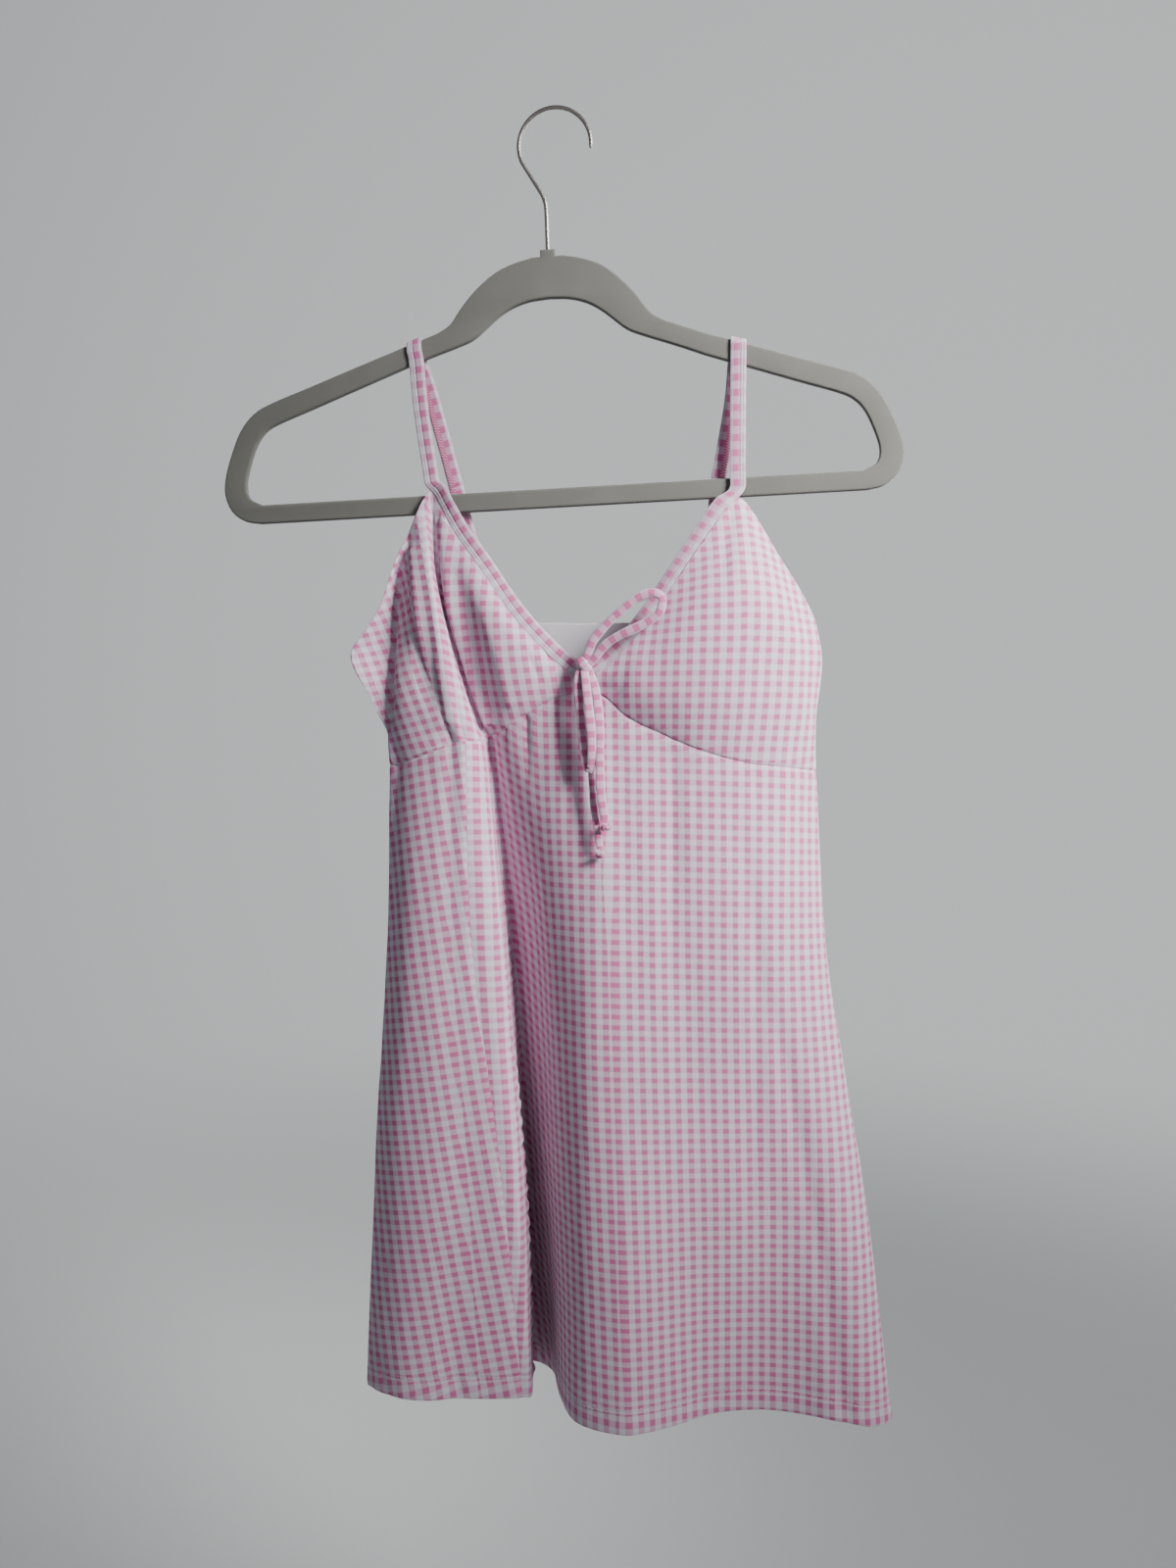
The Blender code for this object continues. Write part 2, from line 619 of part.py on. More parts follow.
def build_hanger(flock):
    """The flat flocked body with its round-cornered opening and the nub that holds the hook."""
    curve = bpy.data.curves.new("hanger_body", "CURVE")
    curve.dimensions = "2D"
    curve.fill_mode = "BOTH"
    curve.extrude = HANGER_THICKNESS / 2 - HANGER_ROUNDING
    curve.bevel_depth = HANGER_ROUNDING
    curve.bevel_resolution = 1
    curve.offset = -HANGER_ROUNDING
    nub = [Vector((HANGER_MIDDLE + side * NUB_HALF_WIDTH, z, 0))
           for side, z in ((-1, NUB_FOOT), (-1, NUB_TOP), (1, NUB_TOP), (1, NUB_FOOT))]
    outer = hanger_outline(HANGER_OUTER)
    half = len(outer) // 2
    for outline in (outer[:half] + nub + outer[half:], hanger_outline(HANGER_INNER)):
        spline = curve.splines.new("POLY")
        spline.points.add(len(outline) - 1)
        for point, co in zip(spline.points, outline):
            point.co = (*co, 1.0)
        spline.use_cyclic_u = True
    body = placed("hanger_body", curve, flock)
    body.matrix_world = hanger_placement() @ Matrix.Rotation(math.radians(90), 4, "X")


def hook_route():
    """The wire's middle line: the crook from its tip over the peg, then down to the nub."""
    centre = Vector((0, 0, WIRE / 2 - CROOK_RADIUS))
    turn = (CROOK_END_ANGLE - CROOK_TIP_ANGLE) / CROOK_STEPS
    angles = [CROOK_TIP_ANGLE + turn * k for k in range(CROOK_STEPS + 1)]
    crook = [centre + Vector((math.cos(a), 0, math.sin(a))) * CROOK_RADIUS for a in angles]
    stem = [mm(HANGER_MIDDLE * 1000 + x, 0, z) for x, z in STEM]
    foot = Vector((HANGER_MIDDLE, 0, NUB_TOP + SEAM_GAP))
    bend = resampled([crook[-2], crook[-1]] + stem + [foot], WIRE_SPACING)
    return crook[:-2] + bend


def build_hook(steel):
    """The round wire hook."""
    hook = placed("hanger_hook", tube_curve("hanger_hook", hook_route(), WIRE), steel)
    hook.matrix_world = hanger_placement()


def main():
    clear_scene()
    collection = bpy.data.collections.new(COLLECTION)
    bpy.context.scene.collection.children.link(collection)
    gingham = finish("gingham", (0.70, 0.44, 0.55), 0.85)
    lining = finish("lining", (0.62, 0.62, 0.63), 0.9)
    flock = finish("flocked hanger", (0.38, 0.38, 0.35), 0.95)
    steel = finish("satin wire", (0.55, 0.53, 0.5), 0.35, 1.0)
    rows, column_of = dress_grid()
    normals = grid_normals(rows)
    build_hanger(flock)
    build_hook(steel)
    build_panels(rows, normals, column_of, gingham)
    build_lining(rows, normals, column_of, lining)
    build_straps(rows, normals, column_of, gingham)
    build_tie(gingham)


main()
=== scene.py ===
"""A gingham strap dress on a flocked hanger: its cloth, straps, bow, stitching, hanger and stage.

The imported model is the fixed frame, in metres: +Z up, +X to the viewer's right, -Y towards the viewer.
The tables are in millimetres. The dress is described by gores, lines that run down it from its top
edge to its hem, and each cut piece of cloth lies between two of them.
"""

import functools
import itertools
import math
from typing import NamedTuple

import bmesh
import bpy
import numpy as np
from mathutils import Matrix, Vector, noise


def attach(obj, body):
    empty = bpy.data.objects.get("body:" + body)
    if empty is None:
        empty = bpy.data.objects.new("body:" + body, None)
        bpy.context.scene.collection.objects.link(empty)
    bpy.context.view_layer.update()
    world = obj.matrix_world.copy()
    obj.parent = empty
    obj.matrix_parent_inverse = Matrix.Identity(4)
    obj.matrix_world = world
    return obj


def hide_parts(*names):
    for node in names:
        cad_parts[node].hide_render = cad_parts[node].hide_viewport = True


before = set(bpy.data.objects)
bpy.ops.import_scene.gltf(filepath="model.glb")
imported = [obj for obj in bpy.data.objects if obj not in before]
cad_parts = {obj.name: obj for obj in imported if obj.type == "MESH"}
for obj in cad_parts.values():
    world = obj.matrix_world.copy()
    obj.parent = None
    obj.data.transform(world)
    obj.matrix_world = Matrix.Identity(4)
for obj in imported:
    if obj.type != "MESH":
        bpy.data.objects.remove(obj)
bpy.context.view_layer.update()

bl_info = {
    "name": "Gingham Dress on a Hanger",
    "version": (1, 0, 0),
    "blender": (4, 5, 0),
    "location": "3D View > Sidebar > Dress",
    "description": "Makes a gingham dress with a bow, its flocked hanger and a plain stage",
    "category": "Object",
}


# ---- Sizes and colours a user would change ----

def length(name, description, default):
    return bpy.props.FloatProperty(name=name, description=description, default=default, min=0.0,
                                   precision=5, unit="LENGTH")


def colour(name, description, default):
    return bpy.props.FloatVectorProperty(name=name, description=description, default=default,
                                         subtype="COLOR", min=0.0, max=1.0, size=3)


class DressCloth(bpy.types.PropertyGroup):
    """The checked knit and how it is worked."""

    check_width: length("Check width", "Repeat of the checks across the cloth", 0.00745)
    check_height: length("Check height", "Repeat of the checks along the cloth", 0.0068)
    white: colour("White", "Colour of the ground", (0.78, 0.78, 0.86))
    blush: colour("Blush", "Colour where one pink stripe crosses the ground", (0.74, 0.45, 0.63))
    pink: colour("Pink", "Colour where two pink stripes cross", (0.64, 0.085, 0.30))
    lining: colour("Lining", "Colour of the lining", (0.50, 0.50, 0.52))
    thread: colour("Thread", "Colour of the topstitching", (0.78, 0.74, 0.79))
    looper: colour("Looper thread", "Colour of the thread under the straps' stitching", (0.62, 0.07, 0.26))
    wall: length("Wall", "Thickness of the cloth", 0.0011)
    hem_wall: length("Hem wall", "Thickness of the cloth where the hem is turned up", 0.0019)
    hem_depth: length("Hem depth", "Height of the turned-up hem", 0.0148)
    edge_turn: length("Edge turn", "From the top edge to its first row of topstitching", 0.0040)
    needle_gap: length("Needle gap", "Distance between the two rows of topstitching", 0.0024)
    spacing: length("Mesh spacing", "Distance between the columns of the cloth's mesh", 0.0031)
    stitch: length("Stitch", "Length of one topstitch", 0.0026)


class DressStraps(bpy.types.PropertyGroup):
    """The neck bindings and shoulder straps."""

    width: length("Width", "Width of a strap and its binding", 0.0098)
    thickness: length("Thickness", "Thickness of a strap", 0.0018)


class DressTie(bpy.types.PropertyGroup):
    """The tie and its bow."""

    width: length("Width", "Width of the flattened tie", 0.0056)
    thickness: length("Thickness", "Thickness of the flattened tie", 0.0030)


class DressHanger(bpy.types.PropertyGroup):
    """The hanger and its hook."""

    thickness: length("Thickness", "Thickness of the hanger's body", 0.0050)
    rounding: length("Rounding", "Rounding of the body's edges", 0.0014)
    wire: length("Wire", "Thickness of the hook's wire", 0.0025)
    flock: colour("Flock", "Colour of the flocked body", (0.15, 0.15, 0.136))
    steel: colour("Wire colour", "Colour of the hook's satin plating", (0.42, 0.385, 0.36))


class DressStage(bpy.types.PropertyGroup):
    """The plain floor, the light and the camera."""

    lens: bpy.props.FloatProperty(name="Lens", description="Focal length for a 36 mm tall frame",
                                  default=27.05, min=10.0, unit="CAMERA")
    pitch: bpy.props.FloatProperty(name="Pitch", description="How far the camera looks down",
                                   default=math.radians(4.0), subtype="ANGLE")
    floor_drop: length("Floor drop", "How far the floor lies below the hook", 1.45)
    floor: colour("Floor", "Colour of the floor", (0.72, 0.73, 0.73))
    dim_side: colour("Dim side", "Light of the surround on the viewer's side", (0.14, 0.145, 0.155))
    bright_side: colour("Bright side", "Light of the surround behind the dress", (0.62, 0.65, 0.655))


# ---- The dress's form, in millimetres ----

HANGER_YAW = math.radians(-6.5)
HANGER_TILT = math.radians(-2.1)
HANGER_MIDDLE = -0.007
YAW_SLOPE = math.tan(-HANGER_YAW)
SEAM_GAP = 0.0003
HIP_LEVEL = 0.30
THIGH_LEVEL = 0.65
SKIRT_LENGTH = 0.43

# Name; x, depth, height at the edge, at two levels above the waist seam and at the seam;
# x and depth at the hip and the thigh; x, depth, height at the hem
GORES = (
    ("side seam left", (-96, -6, -267), (-90, -10, -309), (-79, -16, -359), (-66, -22, -402),
     (-66, -31), (-56, -39), (-50, -36, -834)),
    ("left crest", (-90, -8, -254), (-81, -17, -301), (-71, -25, -357), (-57, -24, -401),
     (-53, -31), (-34, -38), (-21, -33, -833)),
    ("left strap outer", (-84, -6, -242), (-78, -14, -295), (-63, -20, -359), (-49, -17, -401),
     (-38, -26), (-22, -31), (-15, -24, -834)),
    ("deep fold", (-79, -6, -240), (-71, -7, -302), (-56, -6, -358), (-42, -8, -398),
     (-28, 0), (-21, 9), (-19, 17, -837)),
    ("fold's right wall", (-65, -11, -266), (-54, -19, -310), (-42, -21, -356), (-32, -17, -393),
     (-13, -12), (-6, -12), (-3, 7, -836)),
    ("left cup middle", (-47, -17, -291), (-36, -26, -323), (-28, -27, -357), (-20, -21, -385),
     (-1, -29), (6, -37), (4, -27, -834)),
    ("left cup inner", (-22, -23, -326), (-17, -27, -342), (-12, -27, -359), (-5, -24, -376),
     (14, -40), (21, -52), (15, -54, -834)),
    ("centre front", (11, -24, -358), (13, -24, -361), (15, -24, -365), (18, -24, -368),
     (33, -44), (40, -56), (42, -65, -833)),
    ("right cup inner", (29, -26, -357), (30, -26, -362), (32, -26, -367), (33, -26, -373),
     (50, -43), (56, -54), (58, -61, -833)),
    ("right cup rise", (47, -29, -341), (47, -34, -355), (48, -34, -370), (48, -30, -386),
     (64, -43), (74, -49), (78, -51, -833)),
    ("right cup front", (63, -28, -321), (65, -38, -344), (66, -39, -370), (67, -32, -395),
     (80, -41), (92, -44), (98, -40, -832)),
    ("right cup crest", (80, -24, -296), (84, -41, -330), (85, -42, -369), (85, -34, -403),
     (97, -41), (112, -40), (118, -34, -831)),
    ("right cup middle", (97, -17, -271), (103, -41, -318), (105, -42, -367), (106, -34, -410),
     (117, -39), (132, -35), (140, -31, -831)),
    ("right strap inner", (111, -10, -252), (121, -38, -308), (124, -39, -363), (125, -31, -414),
     (135, -35), (152, -32), (162, -32, -832)),
    ("right strap outer", (121, -7, -249), (136, -33, -312), (142, -33, -364), (144, -25, -416),
     (150, -29), (170, -31), (184, -36, -833)),
    ("right cup side", (140, -10, -280), (153, -25, -329), (157, -24, -371), (157, -16, -418),
     (166, -19), (188, -25), (205, -33, -836)),
    ("right edge", (166, -10, -328), (170, -9, -352), (167, -6, -388), (168, -3, -420),
     (177, -4), (201, -9), (219, -18, -837)),
    ("right turn", (161, 9, -362), (160, 10, -378), (157, 11, -397), (157, 12, -420),
     (166, 11), (190, 11), (208, 7, -837)),
    ("side seam right", (128, 14, -366), (126, 15, -381), (124, 15, -399), (120, 14, -420),
     (132, 15), (150, 15), (164, 16, -837)),
    ("right strap at back, outer", (101, 10, -326), (98, 12, -356), (95, 13, -388), (92, 12, -420),
     (104, 19), (116, 25), (124, 28, -837)),
    ("right strap at back, inner", (90, 10, -325), (87, 13, -355), (84, 13, -388), (80, 12, -420),
     (88, 18), (96, 23), (102, 25, -837)),
    ("back, right of middle", (50, 10, -324), (48, 13, -355), (45, 14, -388), (42, 12, -419),
     (50, 12), (56, 12), (60, 11, -837)),
    ("back, left of middle", (8, 10, -324), (4, 12, -355), (0, 12, -387), (-2, 12, -419),
     (4, 17), (6, 22), (10, 26, -837)),
    ("left strap at back, inner", (-36, 10, -323), (-36, 12, -354), (-37, 12, -387), (-38, 11, -418),
     (-36, 17), (-34, 23), (-32, 28, -837)),
    ("left strap at back, outer", (-47, 10, -324), (-50, 12, -355), (-52, 12, -387), (-54, 11, -418),
     (-56, 14), (-60, 17), (-64, 19, -839)),
    ("left turn", (-86, 8, -374), (-88, 10, -386), (-89, 10, -401), (-90, 9, -418),
     (-94, 10), (-101, 9), (-107, 6, -838)),
    ("left edge", (-109, -3, -393), (-109, -3, -401), (-109, -3, -409), (-109, -3, -418),
     (-112.5, -4), (-121, -9), (-127.5, -15, -839)),
    ("underarm edge", (-125, -6, -368), (-111, -5, -374), (-108, -8, -393), (-103, -8, -417),
     (-108, -14), (-116, -21), (-121, -28, -837)),
    ("underarm point", (-135, -7, -345), (-111, 0, -345), (-105, -12, -376), (-97, -13, -415),
     (-101, -22), (-106, -30), (-109, -37, -835)),
    ("underarm fold", (-124, -8, -327), (-107, 0, -327), (-101, -15, -366), (-87, -18, -411),
     (-93, -27), (-96, -35), (-97, -42, -834)),
    ("underarm top", (-114, -8, -311), (-101, -2, -308), (-93, -17, -359), (-77, -21, -407),
     (-83, -30), (-83, -39), (-80, -41, -834)),
    ("side, left crest", (-104, -8, -283), (-98, -4, -294), (-89, -17, -359), (-72, -22, -404),
     (-75, -31), (-70, -40), (-65, -37, -834)),
)
GORE_NAMES = [row[0] for row in GORES]


class Run(NamedTuple):
    """A stretch of straight grain in a cut piece, which begins at the gore called start.

    The middle of one pink check lies at a gore position and a level, its share of the way down. There the
    columns lean to the right going down and the rows tilt up to the right, in degrees. The cloth is
    stretched across and down, and its rows drop as they near the fold that the run starts in.
    """

    start: str
    gore: float
    level: float
    lean: float = 0.0
    tilt: float = 0.0
    across: float = 1.0
    down: float = 1.0
    drop: float = 0.0


class Cut(NamedTuple):
    """A cut piece: its node, its first and last gore going right, its part and its runs of grain."""

    node: str
    first: str
    last: str
    part: str
    runs: tuple


BACK_GRAIN = Run("side seam right", 22.0, 0.5)
CUTS = (
    Cut("cup_left", "side seam left", "centre front", "bodice",
        (Run("side seam left", 0.8, 0.37, 9.0, 12.0, across=1.07),
         Run("deep fold", 4.5, 0.37, 4.2, across=1.08, down=1.05))),
    Cut("cup_right", "centre front", "side seam right", "bodice",
        (Run("centre front", 11.82, 0.50, -1.5, 0.6, across=1.055, down=0.98),)),
    Cut("bodice_back", "side seam right", "side seam left", "bodice",
        (BACK_GRAIN, Run("left edge", 30.0, 0.46, 11.6, 13.0, across=1.05))),
    Cut("skirt_front", "left crest", "side seam right", "skirt",
        (Run("left crest", 1.3, 0.29, 2.2), Run("deep fold", 7.5, 0.25, tilt=1.5, drop=-0.5))),
    Cut("skirt_back", "side seam right", "left crest", "skirt",
        (Run("side seam right", 22.0, 0.4), Run("left edge", 30.0, 0.33, 9.3, 13.0, across=1.16))),
)
ROWS_CLOSER_AT_HEM = 0.20
DROP_REACH = 0.042
DROP_SOFTNESS = 0.008


def mm(*values):
    """Millimetres to metres, as a vector."""
    return Vector(values) / 1000.0


def spot(x, depth, z):
    """A point of the dress, its depth counted from the hanger's turned plane, in millimetres."""
    return mm(x, depth - YAW_SLOPE * x, z)


def smooth_between(before, first, second, after, f):
    """The smooth curve from first to second, with the slopes that their neighbours give."""
    slope1 = (second - before) * 0.5
    slope2 = (after - first) * 0.5
    return (first * (2 * f ** 3 - 3 * f ** 2 + 1) + slope1 * (f ** 3 - 2 * f ** 2 + f)
            + second * (3 * f ** 2 - 2 * f ** 3) + slope2 * (f ** 3 - f ** 2))


def curve_at(points, t):
    """The smooth curve through points, at t counted in points, with straight-running ends."""
    last = len(points) - 1
    i = min(max(int(math.floor(t)), 0), last - 1)
    first, second = points[i], points[i + 1]
    before = points[i - 1] if i > 0 else first * 2 - second
    after = points[i + 2] if i + 2 <= last else second * 2 - first
    return smooth_between(before, first, second, after, t - i)


def ring_at(points, stops):
    """The smooth closed curve through an array of points, at an array of positions in points."""
    n = len(points)
    i = np.floor(stops).astype(int)
    window = [points[(i + k) % n] for k in (-1, 0, 1, 2)]
    return smooth_between(*window, (stops - i)[:, None])


def resampled(points, spacing):
    """Points about a spacing apart on the smooth curve through the given ones."""
    out = [points[0]]
    for i in range(len(points) - 1):
        steps = max(1, round((points[i + 1] - points[i]).length / spacing))
        out += [curve_at(points, i + k / steps) for k in range(1, steps + 1)]
    return out


def unit(a):
    """Arrays of vectors made one long."""
    return a / np.maximum(np.linalg.norm(a, axis=-1, keepdims=True), 1e-12)


def level_position(at):
    """Turns a share of the skirt's length into a position counted in its levels."""
    if at < HIP_LEVEL:
        return at / HIP_LEVEL
    if at < THIGH_LEVEL:
        return 1 + (at - HIP_LEVEL) / (THIGH_LEVEL - HIP_LEVEL)
    return 2 + (at - THIGH_LEVEL) / (1 - THIGH_LEVEL)


def gore_levels():
    """Each part's four rings of gore points, as arrays."""
    bodice = []
    skirt = []
    for _, edge, high, low, waist, hip, thigh, hem in GORES:
        run = hem[2] - waist[2]
        bodice.append([spot(*p) for p in (edge, high, low, waist)])
        skirt.append([spot(*waist), spot(*hip, waist[2] + run * HIP_LEVEL),
                      spot(*thigh, waist[2] + run * THIGH_LEVEL), spot(*hem)])
    return {"bodice": np.array(bodice).transpose(1, 0, 2), "skirt": np.array(skirt).transpose(1, 0, 2)}


def surface(levels, part, shares, stops):
    """Points of a part's undisturbed form, rows by columns."""
    rings = [ring_at(ring, stops) for ring in levels[part]]
    rows = [curve_at(rings, level_position(s) if part == "skirt" else 3 * s) for s in shares]
    return np.array(rows)


def surface_normals(points):
    """Outward directions on a grid that closes round the dress."""
    along = np.roll(points, -1, axis=1) - np.roll(points, 1, axis=1)
    down = np.gradient(points, axis=0)
    return unit(np.cross(down, along))


class Part:
    """The bodice or the skirt as a fine closed grid, with its creases pressed in."""

    def __init__(self, name, shares, stops, levels):
        self.name = name
        self.shares = shares
        self.stops = stops
        self.base = surface(levels, name, shares, stops)
        self.normals = surface_normals(self.base)
        steps = np.linalg.norm(np.diff(self.base, axis=0), axis=2)
        from_top = np.concatenate([np.zeros((1, steps.shape[1])), np.cumsum(steps, axis=0)])
        self.from_top = from_top
        self.to_end = from_top[-1] - from_top
        self.lift = np.zeros(self.base.shape[:2])

    def at(self, gore, share_down):
        """A point of the form at a gore position and a share of the way down."""
        row = np.interp(share_down, self.shares, np.arange(len(self.shares)))
        column = np.interp(gore, self.stops, np.arange(len(self.stops)))
        r, c = int(row), int(column)
        r = min(r, len(self.shares) - 2)
        f, g = row - r, column - c
        after = (c + 1) % len(self.stops)
        top = self.base[r, c] * (1 - g) + self.base[r, after] * g
        low = self.base[r + 1, c] * (1 - g) + self.base[r + 1, after] * g
        return top * (1 - f) + low * f

    def points(self):
        """The form with its creases and fine relief."""
        return self.base + self.normals * self.lift[..., None]


def column_stops(levels, spacing):
    """The gore positions of the mesh's columns, closer together beside each seam."""
    stops = []
    beside_seam = 0.02
    seams = {GORE_NAMES.index(gore) for cut in CUTS for gore in (cut.first, cut.last)}
    for i in range(len(GORES)):
        after = (i + 1) % len(GORES)
        span = max(np.linalg.norm(ring[after] - ring[i]) for rings in levels.values() for ring in rings)
        steps = max(3, math.ceil(span / spacing))
        marks = [k / steps for k in range(steps)]
        if i in seams:
            marks.append(beside_seam)
        if after in seams:
            marks.append(1 - beside_seam)
        stops += [i + m for m in sorted(marks)]
    return np.array(stops)


def hem_rows(cloth):
    """How far the hem's two rows of topstitching lie above its edge."""
    return cloth.hem_depth - cloth.needle_gap, cloth.hem_depth


def row_shares(cloth):
    """Each part's mesh rows as shares of the way down, closer together at the seams and the hem."""
    bodice = np.concatenate([[0, 0.008, 0.985, 0.993, 0.997], np.linspace(0, 1, 55)])
    near_waist = np.array([0, 0.0008, 0.002, 0.0036]) / SKIRT_LENGTH
    above_hem = [0.0004, 0.0012, 0.0028, 0.0062, 0.0098]
    for line in hem_rows(cloth):
        above_hem += [line - 0.0007, line, line + 0.0007]
    near_hem = 1 - np.array(above_hem) / SKIRT_LENGTH
    between = np.linspace(near_waist[-1] + 0.006, near_hem.min() - 0.006, 116)
    skirt = np.concatenate([near_waist, between, near_hem, [1.0]])
    return {"bodice": np.unique(bodice), "skirt": np.unique(skirt)}


@functools.lru_cache(maxsize=None)
def draped():
    """Both parts of the dress on one set of columns, which the seams share."""
    cloth = bpy.context.scene.dress_cloth
    levels = gore_levels()
    stops = column_stops(levels, cloth.spacing)
    parts = {name: Part(name, shares, stops, levels) for name, shares in row_shares(cloth).items()}
    for name, part in parts.items():
        for crease in CREASES[name]:
            press_crease(part, *crease)
        ruffle(part, cloth)
    return parts


# Each part's creases: gore position and share of the way down at the start, middle and end;
# width; height at the start, middle and end, + for a ridge and - for a trough, in millimetres
CREASES = {"bodice": (
    # the left cup's folds
    ((3.40, 0.04), (3.35, 0.40), (3.30, 0.96), 6.5, (2.0, 8.0, 5.5)),
    ((4.10, 0.12), (4.60, 0.50), (4.60, 0.90), 6.0, (0.6, 1.6, 1.2)),
    ((2.45, 0.06), (2.45, 0.50), (2.60, 0.99), 2.4, (-1.0, -1.8, -1.8)),
    ((0.25, 0.08), (0.10, 0.45), (-0.10, 0.92), 7.0, (2.0, 5.5, 3.4)),
    ((-0.33, 0.04), (-3.43, 0.39), (-5.00, 0.64), 2.4, (-2.2, -4.2, -3.6)),
    ((0.70, 0.60), (0.70, 0.76), (0.40, 0.93), 2.2, (0.5, 1.2, 1.0)),
    ((1.60, 0.64), (1.20, 0.85), (0.98, 1.0), 1.7, (-0.6, -1.9, -2.3)),
    ((3.9, 0.80), (3.6, 0.90), (3.4, 1.0), 1.2, (-0.4, -1.2, -1.2)),
    ((6.53, 0.0), (6.60, 0.26), (6.60, 0.80), 1.5, (-1.0, -0.8, -0.3)),
    ((5.93, 0.33), (6.07, 0.54), (6.20, 0.87), 1.9, (-0.3, -0.6, -0.4)),
    # the right cup's soft hollows
    ((13.12, 0.02), (12.50, 0.13), (12.12, 0.28), 3.6, (-1.0, -0.9, -0.3)),
    ((13.62, 0.17), (13.38, 0.26), (13.38, 0.34), 3.6, (-0.3, -0.7, -0.3)),
    ((9.11, 0.11), (8.88, 0.41), (8.50, 0.76), 4.0, (-0.4, -0.9, -0.4)),
    ((15.11, 0.56), (15.33, 0.65), (15.44, 0.74), 1.3, (-0.3, -0.6, -0.3)),
    # the back of the bodice
    ((20.4, 0.15), (20.2, 0.50), (20.3, 1.0), 4.5, (-0.3, -0.9, -0.8)),
    ((22.5, 0.20), (22.6, 0.60), (22.4, 1.0), 5.0, (-0.3, -0.8, -0.6)),
), "skirt": (
    # the skirt's deep fold and the gathers beside it
    ((2.93, 0.0), (3.10, 0.07), (3.10, 0.17), 1.9, (-1.8, -1.5, -0.5)),
    ((2.95, 0.0), (2.95, 0.28), (3.15, 1.0), 4.6, (-2.0, -4.6, 2.0)),
    ((2.20, 0.02), (2.20, 0.40), (2.30, 1.0), 5.0, (0.8, 3.2, 3.0)),
    ((3.45, 0.06), (3.30, 0.35), (3.50, 0.75), 1.2, (-0.5, -0.9, -0.4)),
    ((5.20, 0.0), (5.07, 0.04), (4.83, 0.09), 2.1, (-1.7, -1.4, -0.4)),
    ((4.08, 0.0), (4.00, 0.02), (3.80, 0.045), 1.3, (-1.2, -0.9, -0.3)),
    # the front's soft hollows and rises
    ((10.50, 0.01), (10.10, 0.15), (9.33, 0.38), 5.0, (-0.8, -1.1, -0.4)),
    ((11.00, 0.0), (10.90, 0.03), (10.90, 0.06), 2.4, (-0.5, -0.6, -0.2)),
    ((13.12, 0.01), (13.00, 0.03), (13.00, 0.05), 2.4, (-0.5, -0.6, -0.2)),
    ((12.38, 0.10), (12.55, 0.30), (11.60, 0.70), 6.0, (-0.4, -1.7, -0.6)),
    ((12.75, 0.32), (13.45, 0.55), (14.08, 1.0), 6.5, (-0.5, -1.8, -2.2)),
    ((7.00, 0.18), (6.47, 0.39), (6.27, 0.62), 9.0, (0.5, 1.0, 0.5)),
    # small puckers at the hem and the left side
    ((27.20, 0.94), (27.50, 0.96), (27.60, 0.99), 1.7, (-0.4, -1.0, -0.5)),
    ((31.00, 0.95), (31.17, 0.98), (31.33, 0.995), 1.7, (-0.4, -1.0, -0.5)),
    ((27.60, 0.78), (27.70, 0.795), (27.70, 0.815), 1.7, (-0.3, -0.7, -0.3)),
    # the back's hang
    ((22.2, 0.0), (21.5, 0.40), (20.9, 0.95), 8.0, (-0.8, -2.0, -1.6)),
    ((19.5, 0.0), (19.8, 0.30), (20.0, 0.80), 6.0, (-0.6, -1.5, -0.7)),
    ((24.6, 0.0), (24.7, 0.35), (24.2, 0.95), 7.0, (-0.8, -2.2, -1.8)),
    ((23.2, 0.08), (23.0, 0.50), (22.6, 0.98), 8.0, (0.5, 1.4, 1.0)),
)}


CREASE_POINTS = 48
CREASE_REACH = 2.6


def press_crease(part, start, middle, end, width, heights):
    """Raises or sinks the cloth along one smooth line over its surface."""
    marks = [Vector((*p, 0.0)) for p in (start, middle, end)]
    count = CREASE_POINTS
    line = [curve_at(marks, 2 * k / (count - 1)) for k in range(count)]
    ring = len(GORES)
    centre = np.array([part.at(p.x % ring, min(max(p.y, 0.0), 1.0)) for p in line])
    width /= 1000
    reach = width * CREASE_REACH
    low, high = centre.min(axis=0) - reach, centre.max(axis=0) + reach
    near = np.all((part.base > low) & (part.base < high), axis=2)
    rows, columns = np.nonzero(near)
    points = part.base[rows, columns]
    apart = np.linalg.norm(points[:, None, :] - centre[None, :, :], axis=2)
    nearest = apart.argmin(axis=1)
    distance = apart.min(axis=1) / width
    row_at = nearest_index([p.y for p in line], part.shares)
    column_at = nearest_index([p.x % ring for p in line], part.stops)
    facing = np.sum(part.normals[rows, columns] * part.normals[row_at, column_at][nearest], axis=1)
    along = nearest / (count - 1)
    height = np.interp(along, [0.0, 0.5, 1.0], heights)
    ends = np.clip(np.minimum(along, 1 - along) * 10 + 0.25, 0, 1)
    beyond = (nearest == 0) | (nearest == count - 1)
    fade = np.where(beyond, ends * np.exp(-distance ** 2), 1.0)
    amount = height / 1000 * np.exp(-distance ** 2) * np.clip(facing * 2, 0, 1) * fade
    part.lift[rows, columns] += amount


def nearest_index(values, marks):
    """The whole numbers nearest to where values lie among rising marks."""
    return np.interp(values, marks, np.arange(len(marks))).round().astype(int)


def bell(distance, height, width):
    """A rounded ridge of a height, by the distance from its line."""
    return height * np.exp(-(distance / width) ** 2)


def noise_over(points, scale, start):
    """Smooth noise over an array of points, from -1 to 1."""
    flat = points.reshape(-1, 3) * scale + start
    return np.array([noise.noise(Vector(p)) for p in flat]).reshape(points.shape[:-1])


